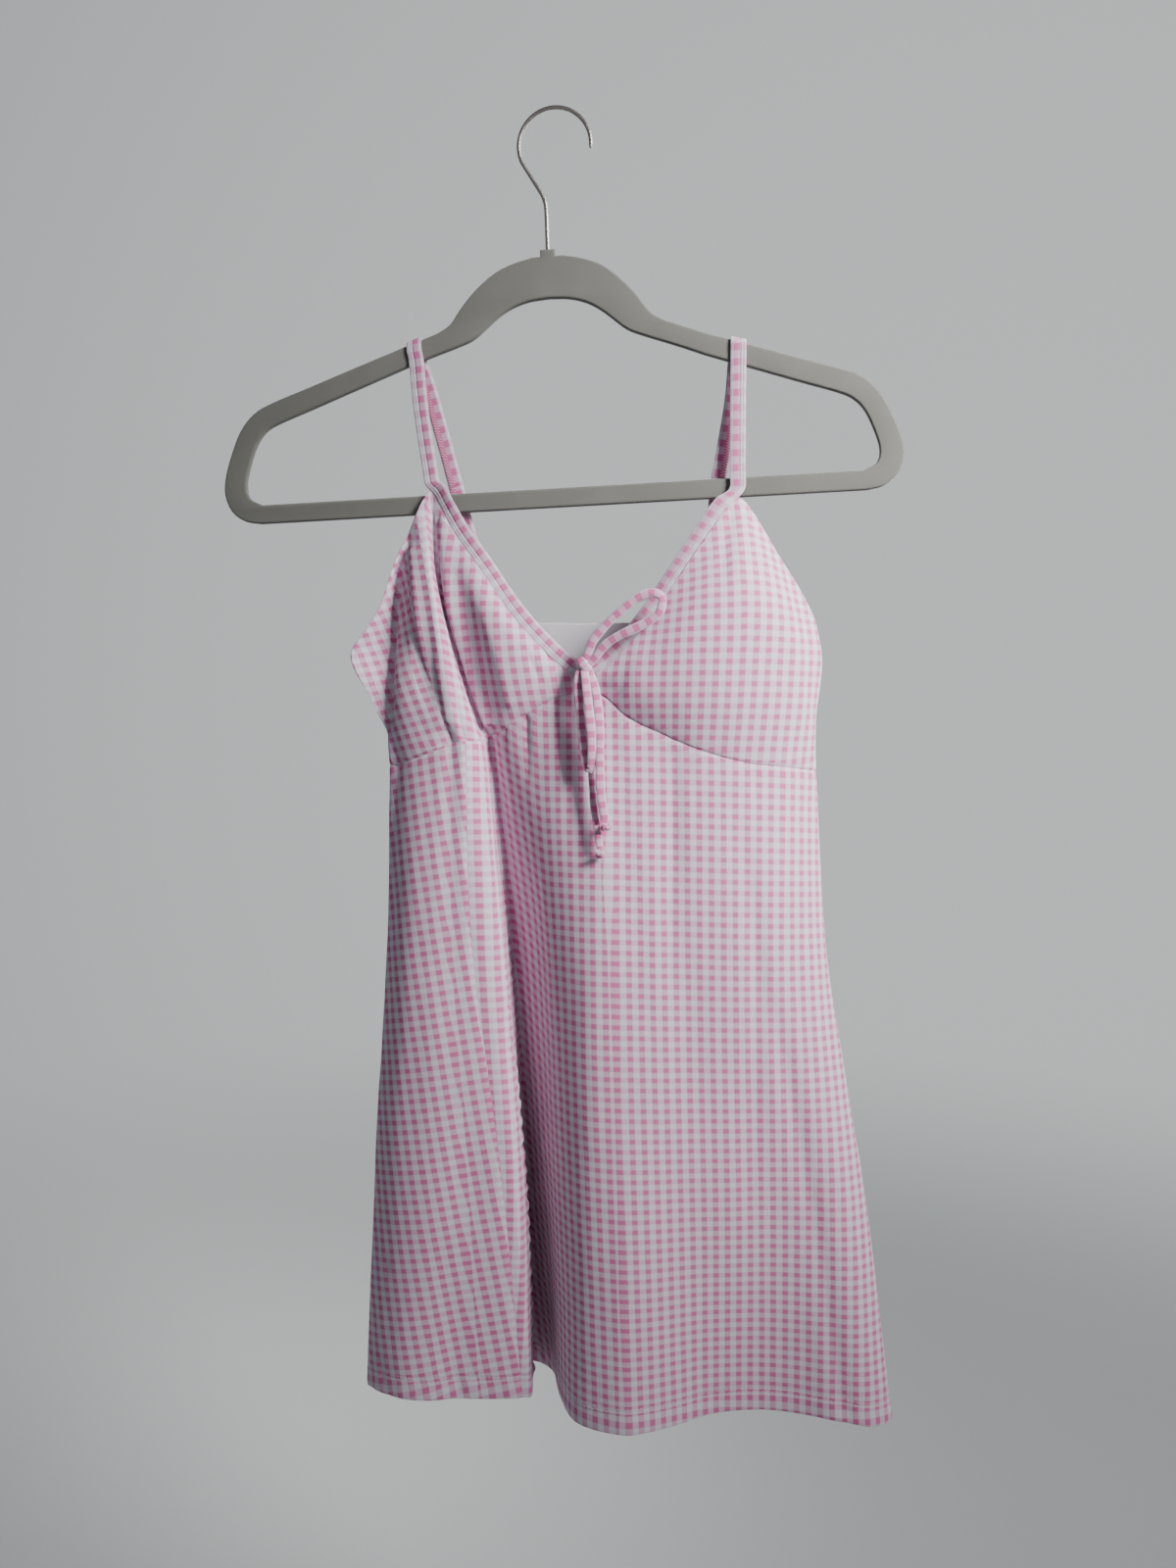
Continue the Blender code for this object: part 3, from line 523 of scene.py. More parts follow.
# The cloth's fine relief, in metres: the height of its waves, and the height and width of the rest
BROAD_WAVES = 0.0007
FINE_WAVES = 0.00022
GATHERS = {"skirt": (0.0006, 0.016), "bodice": (0.0005, 0.012)}
WAIST_GROOVE = (0.0006, 0.0012)
STITCH_GROOVE = (0.00034, 0.00055)
ROPING = (0.0004, 0.006)
HEM_EDGE = (0.0003, 0.0012)
SIDE_GROOVE = (0.0004, 0.0013)


def ruffle(part, cloth):
    """Small unevenness all over, gathers at the waist seam, sewn grooves and a slightly roped hem."""
    base = part.base
    broad = noise_over(base, (26, 26, 13), (0.0, 0.0, 0.0))
    fine = noise_over(base, (85, 85, 34), (0.0, 0.0, 7.0))
    part.lift += broad * BROAD_WAVES + fine * FINE_WAVES
    waist = part.from_top if part.name == "skirt" else part.to_end
    height, reach = GATHERS[part.name]
    part.lift += fine * height * np.exp(-waist / reach)
    part.lift -= bell(waist, *WAIST_GROOVE)
    if part.name == "skirt":
        hem = part.to_end
        for line in hem_rows(cloth):
            part.lift -= bell(hem - line, *STITCH_GROOVE)
        roped = noise_over(base[-1], 120.0, (3.0, 0.0, 0.0))
        part.lift += roped[None, :] * bell(hem - 0.007, *ROPING)
        part.lift -= bell(hem, *HEM_EDGE)
    columns = len(part.stops)
    step = np.linalg.norm(np.roll(base, -1, axis=1) - base, axis=2)
    for column in (column_of(part, cut.first) for cut in CUTS if cut.part == part.name):
        for c in range(column - 3, column + 4):
            a, b = sorted((column, c))
            apart = step[:, np.arange(a, b) % columns].sum(axis=1)
            part.lift[:, c % columns] -= bell(apart, *SIDE_GROOVE)


def column_of(part, gore):
    """The column that runs along a gore."""
    return int(np.argmin(abs(part.stops - GORE_NAMES.index(gore))))


def piece_columns(part, first, last):
    """The columns from one gore to another, going right, as a list that may pass the end."""
    start = column_of(part, first)
    end = column_of(part, last)
    if end <= start:
        end += len(part.stops)
    return [c % len(part.stops) for c in range(start, end + 1)]


def grain_of(part, columns, runs):
    """Flat-cloth positions of a piece's grid, each of its runs of grain laid flat by itself."""
    starts = [columns.index(column_of(part, run.start)) for run in runs] + [len(columns) - 1]
    cloth = bpy.context.scene.dress_cloth
    repeats = np.array([cloth.check_width, cloth.check_height])
    out = np.empty((len(part.shares), len(columns), 2))
    for run, start, end in zip(runs, starts, starts[1:]):
        points = part.base[:, columns[start:end + 1]]
        flat = flattened(points)
        c = columns.index(int(np.argmin(abs(part.stops - run.gore)))) - start
        r = int(np.argmin(abs(part.shares - run.level)))
        flat = (flat - flat[r, c]) @ squared(points, flat, r, c, math.radians(run.lean),
                                             math.radians(run.tilt))
        if part.name == "skirt":
            below = np.maximum(0.0, -flat[..., 1])
            flat[..., 1] -= ROWS_CLOSER_AT_HEM * below ** 2
        if run.drop:
            inward = np.maximum(0.0, flat[:, :1, 0] + DROP_REACH - flat[..., 0])
            flat[..., 1] += run.drop * inward ** 2 / (inward + DROP_SOFTNESS)
        flat /= (run.across, run.down)
        flat += repeats / 2
        if start:
            jump = out[:, start].mean(axis=0) - flat[:, 0].mean(axis=0)
            flat += np.round(jump / repeats) * repeats
        out[:, start:end + 1] = flat
    return out


def squared(points, flat, r, c, lean, tilt):
    """The map that lays the columns and rows seen at one place straight down and straight across."""
    real, drawn = (np.stack([grid[r + 2, c] - grid[r - 2, c], grid[r, c + 1] - grid[r, c - 1]])
                   for grid in (points[..., [0, 2]], flat))
    ahead = math.copysign(1.0, real[1, 0])
    seen = np.array([[math.sin(lean), -math.cos(lean)], [ahead * math.cos(tilt), ahead * math.sin(tilt)]])
    on_flat = seen @ np.linalg.inv(real) @ drawn
    lengths = np.linalg.norm(on_flat, axis=1)
    return np.linalg.inv(on_flat) @ np.array([[0.0, -lengths[0]], [lengths[1], 0.0]])


def flattened(points):
    """Flat-cloth positions of a grid of points, in metres."""
    rows, columns = points.shape[:2]
    keep_rows = sorted({*range(0, rows, 4), rows - 1})
    keep_columns = sorted({*range(0, columns, 4), columns - 1})
    coarse = points[np.ix_(keep_rows, keep_columns)]
    index = np.arange(coarse[..., 0].size).reshape(coarse.shape[:2])
    quads = np.stack([index[:-1, :-1], index[1:, :-1], index[1:, 1:], index[:-1, 1:]], axis=-1)
    mesh = bpy.data.meshes.new("pattern")
    mesh.from_pydata(coarse.reshape(-1, 3).tolist(), [], quads.reshape(-1, 4).tolist())
    obj = bpy.data.objects.new("pattern", mesh)
    bpy.context.scene.collection.objects.link(obj)
    bpy.ops.object.select_all(action="DESELECT")
    bpy.context.view_layer.objects.active = obj
    obj.select_set(True)
    mesh.uv_layers.new(name="Flat")
    bpy.ops.object.mode_set(mode="EDIT")
    bpy.ops.mesh.select_all(action="SELECT")
    bpy.ops.uv.unwrap(method="MINIMUM_STRETCH", iterations=40, fill_holes=False, margin=0.0)
    bpy.ops.object.mode_set(mode="OBJECT")
    values = np.empty(len(mesh.loops) * 2)
    mesh.uv_layers["Flat"].data.foreach_get("uv", values)
    flat = np.zeros((*index.shape, 2))
    flat.reshape(-1, 2)[corner_vertices(mesh)] = values.reshape(-1, 2)
    bpy.data.objects.remove(obj)
    bpy.data.meshes.remove(mesh)
    across = np.diff(flat, axis=1)
    down = np.diff(flat, axis=0)
    if (across[:-1, :, 0] * down[:, :-1, 1] - across[:-1, :, 1] * down[:, :-1, 0]).sum() > 0:
        flat[..., 0] *= -1
    flat *= edge_lengths(coarse) / edge_lengths(flat)
    flat = filled(flat, keep_columns, columns)
    return filled(flat.swapaxes(0, 1), keep_rows, rows).swapaxes(0, 1)


def edge_lengths(grid):
    """The length of all of a grid's lines together."""
    return sum(np.linalg.norm(np.diff(grid, axis=k), axis=2).sum() for k in (0, 1))


def filled(grid, kept, count):
    """The grid's rows with the points between the kept ones filled in, up to a count."""
    places = np.arange(count)
    return np.array([np.stack([np.interp(places, kept, row[:, k]) for k in (0, 1)], axis=1) for row in grid])


# ---- Meshes ----

EDGE_ROUNDING = 0.4


def corner_vertices(mesh):
    """The vertex of each face corner."""
    corners = np.empty(len(mesh.loops), dtype=int)
    mesh.loops.foreach_get("vertex_index", corners)
    return corners


def with_grain(mesh, flat):
    """Gives the mesh its UV map Grain, the flat cloth's metres, from one pair for each vertex."""
    layer = mesh.uv_layers.new(name="Grain")
    layer.data.foreach_set("uv", np.asarray(flat).reshape(-1, 2)[corner_vertices(mesh)].ravel())
    return mesh


def new_mesh(name, vertices, faces):
    """A mesh whose faces look outwards."""
    mesh = bpy.data.meshes.new(name)
    mesh.from_pydata(vertices, [], faces)
    work = bmesh.new()
    work.from_mesh(mesh)
    bmesh.ops.recalc_face_normals(work, faces=work.faces)
    work.to_mesh(mesh)
    work.free()
    return mesh


def wall_mesh(name, outer, inner, flat):
    """A closed wall between two grids of points, with rounded upper and lower edges."""
    rows, columns = outer.shape[:2]
    edge = np.linalg.norm(outer - inner, axis=2)[..., None] * EDGE_ROUNDING
    middle = (outer + inner) / 2
    hem = middle[-1] + unit(middle[-1] - middle[-2]) * edge[-1]
    top = middle[0] + unit(middle[0] - middle[1]) * edge[0]
    loop = np.concatenate([outer, hem[None], inner[::-1], top[None]])
    grain = np.concatenate([flat, flat[-1:], flat[::-1], flat[:1]])
    index = np.arange(len(loop) * columns).reshape(len(loop), columns)
    after = np.roll(index, -1, axis=0)
    faces = np.stack([index[:, :-1], after[:, :-1], after[:, 1:], index[:, 1:]], axis=-1)
    faces = faces.reshape(-1, 4).tolist()
    for side in (index[:, 0].tolist(), index[:, -1].tolist()):
        faces += [[side[r], side[r + 1], side[2 * rows - 1 - r], side[2 * rows - r]] for r in range(rows - 1)]
        faces += [side[rows - 1:rows + 2], [side[2 * rows], side[2 * rows + 1], side[0]]]
    return with_grain(new_mesh(name, loop.reshape(-1, 3).tolist(), faces), grain)


def walked_along(points):
    """How far along their line each of the points lies."""
    return list(itertools.accumulate(((q - p).length for p, q in zip(points, points[1:])), initial=0.0))


def tube_mesh(name, frames, section, flat_width, closed=False):
    """A tube through frames of middle, across, outward and scale, with a section of offsets."""
    sides = len(section)
    vertices = []
    grain = []
    walked = walked_along([middle for middle, *_ in frames])
    for (middle, across, outward, scale), along in zip(frames, walked):
        for k, (a, b) in enumerate(section):
            vertices.append(tuple(middle + across * (a * scale) + outward * (b * scale)))
            grain.append((flat_width * k / sides, along))
    count = len(frames)
    faces = []
    for r in range(count if closed else count - 1):
        n = (r + 1) % count
        for k in range(sides):
            j = (k + 1) % sides
            faces.append((r * sides + k, r * sides + j, n * sides + j, n * sides + k))
    if not closed:
        faces.append(tuple(range(sides)))
        faces.append(tuple(range((count - 1) * sides, count * sides)))
    return with_grain(new_mesh(name, vertices, faces), grain)


def rounded_section(width, thickness, sides):
    """An oval section with fuller sides than an ellipse, wide along its first axis."""
    def fuller(x, size):
        return math.copysign(abs(x) ** 0.75, x) * size / 2

    angles = [2 * math.pi * k / sides for k in range(sides)]
    return [(fuller(math.cos(a), width), fuller(math.sin(a), thickness)) for a in angles]


# ---- Finishes ----

class Shade:
    """A shader value: arithmetic on it adds the Math nodes that work it out."""

    def __init__(self, finish, socket):
        self.finish = finish
        self.socket = socket

    def math(self, operation, *values):
        return self.finish.node("ShaderNodeMath", {"operation": operation}, values)

    def __add__(self, other):
        return self.math("ADD", self, other)

    __radd__ = __add__

    def __sub__(self, other):
        return self.math("SUBTRACT", self, other)

    def __rsub__(self, other):
        return self.math("SUBTRACT", other, self)

    def __mul__(self, other):
        return self.math("MULTIPLY", self, other)

    __rmul__ = __mul__

    def __abs__(self):
        return self.math("ABSOLUTE", self)

    def to_and_fro(self, reach):
        """Rises from 0 to reach and falls back again, over and over."""
        return self.math("PINGPONG", self, reach)


class Nodes:
    """A node tree, with the ways to add to it."""

    def __init__(self, tree):
        self.tree = tree

    def node(self, kind, settings=None, values=(), output=0):
        """Adds a node: its settings first, then the values or links of its sockets."""
        node = self.tree.nodes.new(kind)
        for key, value in (settings or {}).items():
            setattr(node, key, value)
        for key, value in values.items() if isinstance(values, dict) else enumerate(values):
            if isinstance(value, Shade):
                self.tree.links.new(value.socket, node.inputs[key])
            else:
                node.inputs[key].default_value = value
        return Shade(self, node.outputs[output])

    def grain(self):
        """The flat cloth's two positions, in metres."""
        place = self.node("ShaderNodeUVMap", {"uv_map": "Grain"})
        parts = self.node("ShaderNodeSeparateXYZ", values=[place])
        return place, parts, Shade(self, parts.socket.node.outputs[1])

    def place(self):
        return self.node("ShaderNodeTexCoord", output="Object")

    def noise(self, where, scale, detail=2.0, roughness=0.5):
        return self.node("ShaderNodeTexNoise", values={"Vector": where, "Scale": scale, "Detail": detail,
                                                       "Roughness": roughness})

    def ramp(self, value, low, high):
        """0 below low, 1 above high and a smooth rise between."""
        return self.node("ShaderNodeMapRange", {"interpolation_type": "SMOOTHSTEP"},
                         {"Value": value, "From Min": low, "From Max": high})

    def mix(self, factor, first, second):
        """A mix of two colours."""
        first, second = [(*c, 1.0) if isinstance(c, tuple) else c for c in (first, second)]
        return self.node("ShaderNodeMix", {"data_type": "RGBA"}, {0: factor, 6: first, 7: second}, output=2)


class Finish(Nodes):
    """A material with one shader."""

    def __init__(self, name, roughness, **constants):
        self.material = bpy.data.materials.new(name)
        self.material.use_nodes = True
        super().__init__(self.material.node_tree)
        self.shader = self.tree.nodes["Principled BSDF"]
        self.shader.inputs["Roughness"].default_value = roughness
        for key, value in constants.items():
            self.shader.inputs[key.replace("_", " ")].default_value = value

    def feed(self, key, shade):
        self.tree.links.new(shade.socket, self.shader.inputs[key])

    def colour(self, shade):
        self.feed("Base Color", shade)

    def bump(self, height, distance, strength):
        self.feed("Normal", self.node("ShaderNodeBump", values={"Strength": strength, "Distance": distance,
                                                                "Height": height}))


def tinted(tint, brightness):
    """A colour made darker or brighter, and no brighter than white."""
    return tuple(min(1.0, c * brightness) for c in tint)


def gingham(name, across=0.0, width=None, height=None, painted_shade=0.0):
    """Pink and white checks from two sets of stripes, on the cloth's own grain.
    """
    cloth = bpy.context.scene.dress_cloth
    wide = width or cloth.check_width
    tall = height or cloth.check_height
    finish = Finish(name, 0.88, Sheen_Weight=0.22, Sheen_Roughness=0.45, Specular_IOR_Level=0.22)
    where, u, v = finish.grain()
    wobble = finish.noise(where, 260.0, 2.0) - 0.5
    u = u + (wobble * 0.0003 + across * wide)
    v = v + wobble * 0.0003
    soft_edge = 0.0004
    warp, weft = (finish.ramp(along.to_and_fro(repeat / 2), repeat / 4 - soft_edge, repeat / 4 + soft_edge)
                  for along, repeat in ((u, wide), (v, tall)))
    hatch = finish.ramp((u + v * 0.9).to_and_fro(0.00042), 0.00014, 0.00028)
    dots = finish.ramp((u + v).to_and_fro(0.0007) + (u - v).to_and_fro(0.0007), 0.00075, 0.0011)
    both = warp * weft
    either = warp + weft - both * 2.0
    fibre = finish.noise(where, 2600.0, 2.0)
    ground = finish.mix(fibre * 0.5, tuple(cloth.white), tinted(cloth.white, 0.90))
    blush = finish.mix(hatch * 0.34, tuple(cloth.blush), tuple(cloth.white))
    blush = finish.mix(warp * (1.0 - weft) * 0.22, blush, tuple(cloth.pink))
    pink = finish.mix(hatch * 0.26, tuple(cloth.pink), tuple(cloth.blush))
    shade = finish.mix(either, ground, blush)
    shade = finish.mix(both, shade, pink)
    uneven = finish.noise(where, 14.0, 3.0)
    shade = finish.mix(uneven * 0.10, shade, (0.48, 0.43, 0.50))
    shade = finish.mix(dots * 0.30, shade, (0.50, 0.40, 0.46))
    # Painted shade: this copy of the checks is darkened all over towards near black, by the share given.
    if painted_shade:
        shade = finish.mix(painted_shade, shade, (0.02, 0.01, 0.02))
    finish.colour(shade)
    wale = u.to_and_fro(0.00035) * 1400.0
    course = v.to_and_fro(0.00035) * 1400.0
    finish.bump(wale * 0.3 + course * 0.3 - dots * 0.9 + fibre * 0.5, 0.00020, 0.6)
    return finish.material


def plain_knit(name, tint):
    """A smooth one-colour knit."""
    finish = Finish(name, 0.9, Sheen_Weight=0.15, Specular_IOR_Level=0.25)
    where, u, v = finish.grain()
    fibre = finish.noise(where, 900.0, 3.0)
    finish.colour(finish.mix(fibre, tint, tinted(tint, 1.14)))
    wale = u.to_and_fro(0.0004) * 1600.0
    course = v.to_and_fro(0.0003) * 1600.0
    finish.bump(wale + course + fibre, 0.00012, 0.6)
    return finish.material


def looped_underside(name, tint, white):
    """The underside of twin topstitching: dense loops with a white zigzag over them."""
    finish = Finish(name, 0.8, Sheen_Weight=0.2)
    where, u, v = finish.grain()
    zigzag = v.to_and_fro(0.00085) * 4.2
    strand = 1.0 - finish.ramp(abs(u + 0.0018 - zigzag), 0.00028, 0.00052)
    loops = v.to_and_fro(0.00042) * 2380.0
    fibre = finish.noise(where, 1500.0, 2.0)
    base = finish.mix(loops * 0.5 + fibre * 0.3, tinted(tint, 0.75), tint)
    finish.colour(finish.mix(strand * 0.9, base, white))
    finish.bump(strand * 1.5 + loops * 0.6, 0.0003, 0.7)
    return finish.material


def thread_finish(name, tint):
    """Twisted sewing thread."""
    finish = Finish(name, 0.6, Sheen_Weight=0.1)
    where = finish.place()
    twist = finish.noise(where, 1800.0, 1.0)
    finish.colour(finish.mix(twist, tint, tinted(tint, 0.86)))
    finish.bump(twist, 0.0001, 0.4)
    return finish.material


def flocking(name, tint):
    """Short velvety fibres, slightly uneven, with a few dark specks."""
    finish = Finish(name, 0.95, Sheen_Weight=0.55, Sheen_Roughness=0.35, Specular_IOR_Level=0.15)
    where = finish.place()
    nap = finish.noise(where, 3200.0, 2.0)
    cloud = finish.noise(where, 38.0, 3.0)
    shade = finish.mix(nap, tinted(tint, 0.80), tinted(tint, 1.22))
    shade = finish.mix(finish.ramp(cloud, 0.35, 0.75) * 0.35, shade, tinted(tint, 1.2))
    cells = finish.node("ShaderNodeTexVoronoi", values={"Vector": where, "Scale": 62.0})
    speck = 1.0 - finish.ramp(cells, 0.03, 0.05)
    rare = finish.ramp(finish.noise(where, 21.0, 1.0), 0.60, 0.64)
    finish.colour(finish.mix(speck * rare * 0.75, shade, (0.05, 0.045, 0.04)))
    finish.bump(nap + cloud * 0.2, 0.00015, 0.4)
    return finish.material


def satin_wire(name, tint):
    """Plated wire with fine drawing lines and a few dull spots."""
    finish = Finish(name, 0.3, Metallic=1.0)
    where = finish.place()
    lines = finish.noise(where, 700.0, 3.0)
    dull = finish.ramp(finish.noise(where, 90.0, 2.0), 0.45, 0.7)
    finish.colour(finish.mix(dull * 0.4, tint, tinted(tint, 0.7)))
    finish.feed("Roughness", 0.26 + lines * 0.16 + dull * 0.12)
    finish.bump(lines, 0.00005, 0.3)
    return finish.material


# A slot name, and what makes the finish, by what it is for
FINISHES = {
    "cloth": ("gingham", lambda scene: gingham("gingham knit")),
    "lining": ("lining", lambda scene: plain_knit("pale lining", tuple(scene.dress_cloth.lining))),
    "thread": ("gingham", lambda scene: thread_finish("topstitching thread", tuple(scene.dress_cloth.thread))),
    "flock": ("flock", lambda scene: flocking("flocked hanger", tuple(scene.dress_hanger.flock))),
    "wire": ("wire", lambda scene: satin_wire("satin wire", tuple(scene.dress_hanger.steel))),
    # The strap's and the tie's copies of the checks are darkened all over by painted shade.
    "strap": ("gingham", lambda scene: gingham("gingham strap", across=0.402, width=0.0092, height=0.0094,
                                               painted_shade=0.20)),
    "tie": ("gingham", lambda scene: gingham("gingham tie", across=0.015, width=0.0066, height=0.0084,
                                             painted_shade=0.06)),
    "underside": ("gingham", lambda scene: looped_underside(
        "coverstitch underside", tuple(scene.dress_cloth.looper), tuple(scene.dress_cloth.thread))),
}


@functools.lru_cache(maxsize=None)
def material(kind):
    """Each finish once."""
    return FINISHES[kind][1](bpy.context.scene)


# ---- Pieces ----

# The tie's strands: node, and the route in millimetres, x, y and z, from the knot outwards
STRANDS = {
    "tie_loop_up": ((20, -35.2, -351.5), (22, -36.2, -346.2), (24.5, -37.8, -338.5), (29, -39, -332.5),
                    (35, -40.5, -326), (42, -42.3, -319.8), (49, -44, -314.3), (56, -45.5, -310.2),
                    (62.5, -46.7, -308.8), (67, -47.5, -311), (67.6, -47.8, -316), (64.8, -47.2, -322),
                    (58, -45.5, -326.8), (49.5, -43.8, -331), (41, -41.8, -334.8), (33, -39.2, -340),
                    (27, -37.3, -347.4), (22, -35.6, -352.5)),
    "tie_loop_down": ((18.6, -35, -354.2), (16.2, -36.6, -360.2), (16, -37.5, -366), (16.6, -39.5, -376),
                      (18.3, -42, -393), (20.2, -44, -408), (22, -45.6, -416.8),
                      (23.8, -47.3, -417), (24.4, -48, -408), (23.9, -47.4, -393), (22, -44, -375),
                      (20.4, -40.2, -361.6), (19.8, -36.5, -354.8)),
    "tie_tail_short": ((20.8, -34.6, -354.4), (23.6, -36.4, -359.4), (26.6, -39.5, -368),
                       (28.6, -43.5, -380), (29.3, -46.5, -396), (29.4, -48.4, -414), (30, -49.8, -432),
                       (32.5, -51, -449)),
    "tie_tail_long": ((20, -32.8, -355.4), (20.4, -33.4, -361), (21.5, -35.4, -372), (22.8, -38.2, -390),
                      (23.8, -39.8, -408), (24.6, -42.2, -424), (26, -45.2, -442), (29.6, -49, -467)),
}
KNOT_CENTRE = (19.8, -34.8, -353)
KNOT_HALVES = (0.0038, 0.0049)
KNOT_LEAN = math.radians(-38.0)
KNOT_BAND = (0.0056, 0.0026)
KNOT_SIZE = (0.0102, 0.0062, 0.0104)
KNOT_GATHERS = 7
TIE_FLAT_WIDTH = 0.0128
TIE_FACES = (0.12, -1.0, 0.10)
TIE_END_SCALE = 0.85
# Tail, its end knot, that knot's size, and the tail's width as a share of the tie's
TAILS = (("tie_tail_short", "tie_end_short", 0.0072, 1.0), ("tie_tail_long", "tie_end_long", 0.0064, 0.82))


def square_to(direction, along):
    """The part of a direction that is square to along, one long."""
    return (direction - along * direction.dot(along)).normalized()


def direction_at(points, i):
    """Which way a line of points runs at one of them."""
    return (points[min(i + 1, len(points) - 1)] - points[max(i - 1, 0)]).normalized()


def strand_frames(route, spacing):
    """Frames along a flattened strand whose broad side faces the viewer, a little uneven in width."""
    points = resampled([mm(*p) for p in route], spacing)
    frames = []
    for i, point in enumerate(points):
        along = direction_at(points, i)
        outward = square_to(Vector(TIE_FACES), along)
        across = along.cross(outward).normalized()
        t = i / (len(points) - 1)
        wave = 1.0 + 0.05 * math.sin(t * 19.0) + 0.04 * math.sin(t * 43.0 + 1.0)
        pinch = min(1.0, TIE_END_SCALE + t * 6.0, TIE_END_SCALE + (1 - t) * 6.0)
        frames.append((point, across, outward, wave * pinch))
    return frames


def overhand_knot(name, centre, size, along):
    """A small overhand knot: a three-lobed closed strand pulled tight."""
    count = 54
    radius = size / 6.2
    turn = Vector((0, 0, 1)).rotation_difference(along)
    points = []
    for k in range(count):
        a = 2 * math.pi * k / count
        lobes = (math.sin(a) + 2 * math.sin(2 * a), math.cos(a) - 2 * math.cos(2 * a), -1.1 * math.sin(3 * a))
        points.append(centre + turn @ (Vector(lobes) * (size / 2 - radius * 0.8) / 3.0))
    frames = []
    for i, point in enumerate(points):
        run = (points[(i + 1) % count] - points[i - 1]).normalized()
        out = square_to(point - centre, run)
        frames.append((point, run.cross(out).normalized(), out, 1.0))
    return tube_mesh(name, frames, rounded_section(radius * 2.5, radius * 2.0, 10), 0.008, closed=True)


# A stitch's four rings: how far each lies above the cloth, in thread radii, and how thick it is
STITCH_RISE = (-0.9, 0.35, 0.35, -0.9)
STITCH_THICK = (0.6, 1.0, 1.0, 0.6)
STITCH_SIDES = 5


def along_run(at, walked, values):
    """The values at some distances along a run, from those at the walked distances."""
    return np.stack([np.interp(at, walked, values[:, k]) for k in range(3)], axis=1)


def stitch_mesh(name, runs, stitch, gap, radius):
    """Rows of short raised stitches; each run is points and outward directions on the cloth."""
    vertices = []
    faces = []
    sides = STITCH_SIDES
    for points, normals in runs:
        points = np.array(points)
        normals = np.array(normals)
        walked = np.concatenate([[0], np.cumsum(np.linalg.norm(np.diff(points, axis=0), axis=1))])
        count = int(walked[-1] // (stitch + gap))
        pitch = walked[-1] / count
        for n in range(count):
            at = n * pitch + gap / 2 + np.linspace(0, 1, 4) * (pitch - gap)
            place = along_run(at, walked, points)
            out = unit(along_run(at, walked, normals))
            side = unit(np.cross(unit(np.gradient(place, axis=0)), out))
            base = len(vertices)
            for r, (rise, thick) in enumerate(zip(STITCH_RISE, STITCH_THICK)):
                for k in range(sides):
                    a = 2 * math.pi * k / sides
                    offset = side[r] * math.cos(a) + out[r] * math.sin(a)
                    vertices.append(tuple(place[r] + out[r] * (rise * radius) + offset * radius * thick))
            for ring in range(base, base + 3 * sides, sides):
                for k in range(sides):
                    j = (k + 1) % sides
                    faces.append((ring + k, ring + j, ring + sides + j, ring + sides + k))
            faces += [tuple(range(end, end + sides)) for end in (base, base + 3 * sides)]
    return new_mesh(name, vertices, faces)


def made(mesh, kind, *nodes, angle=60.0):
    """A smooth-shaded piece with its finish, which rides on the part in place of its solids."""
    mesh.materials.append(material(kind))
    mesh.shade_smooth()
    mesh.set_sharp_from_angle(angle=math.radians(angle))
    obj = bpy.data.objects.new(mesh.name, mesh)
    bpy.context.scene.collection.objects.link(obj)
    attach(obj, "root")
    if nodes:
        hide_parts(*nodes)
    return obj


CAMERA_PLACE = (0.0221, -0.777, -0.3754)
# Lamps: name, place, target, size, power, spread in degrees, and tint
LAMPS = (
    ("window light", (0.95, -0.68, 0.28), (0.36, 0.0, -0.18), 0.6, 6.2, 46.0, (1.0, 0.99, 0.98)),
    ("room light", (-1.0, -1.6, -0.1), (0.0, 0.0, -0.45), 1.6, 0.6, 115.0, (0.95, 0.97, 1.0)),
    ("back light", (0.6, 1.6, 0.4), (0.0, 0.0, -0.45), 1.2, 10.0, 115.0, (1.0, 1.0, 1.0)),
)
FLOOR_RADIUS = 14.0


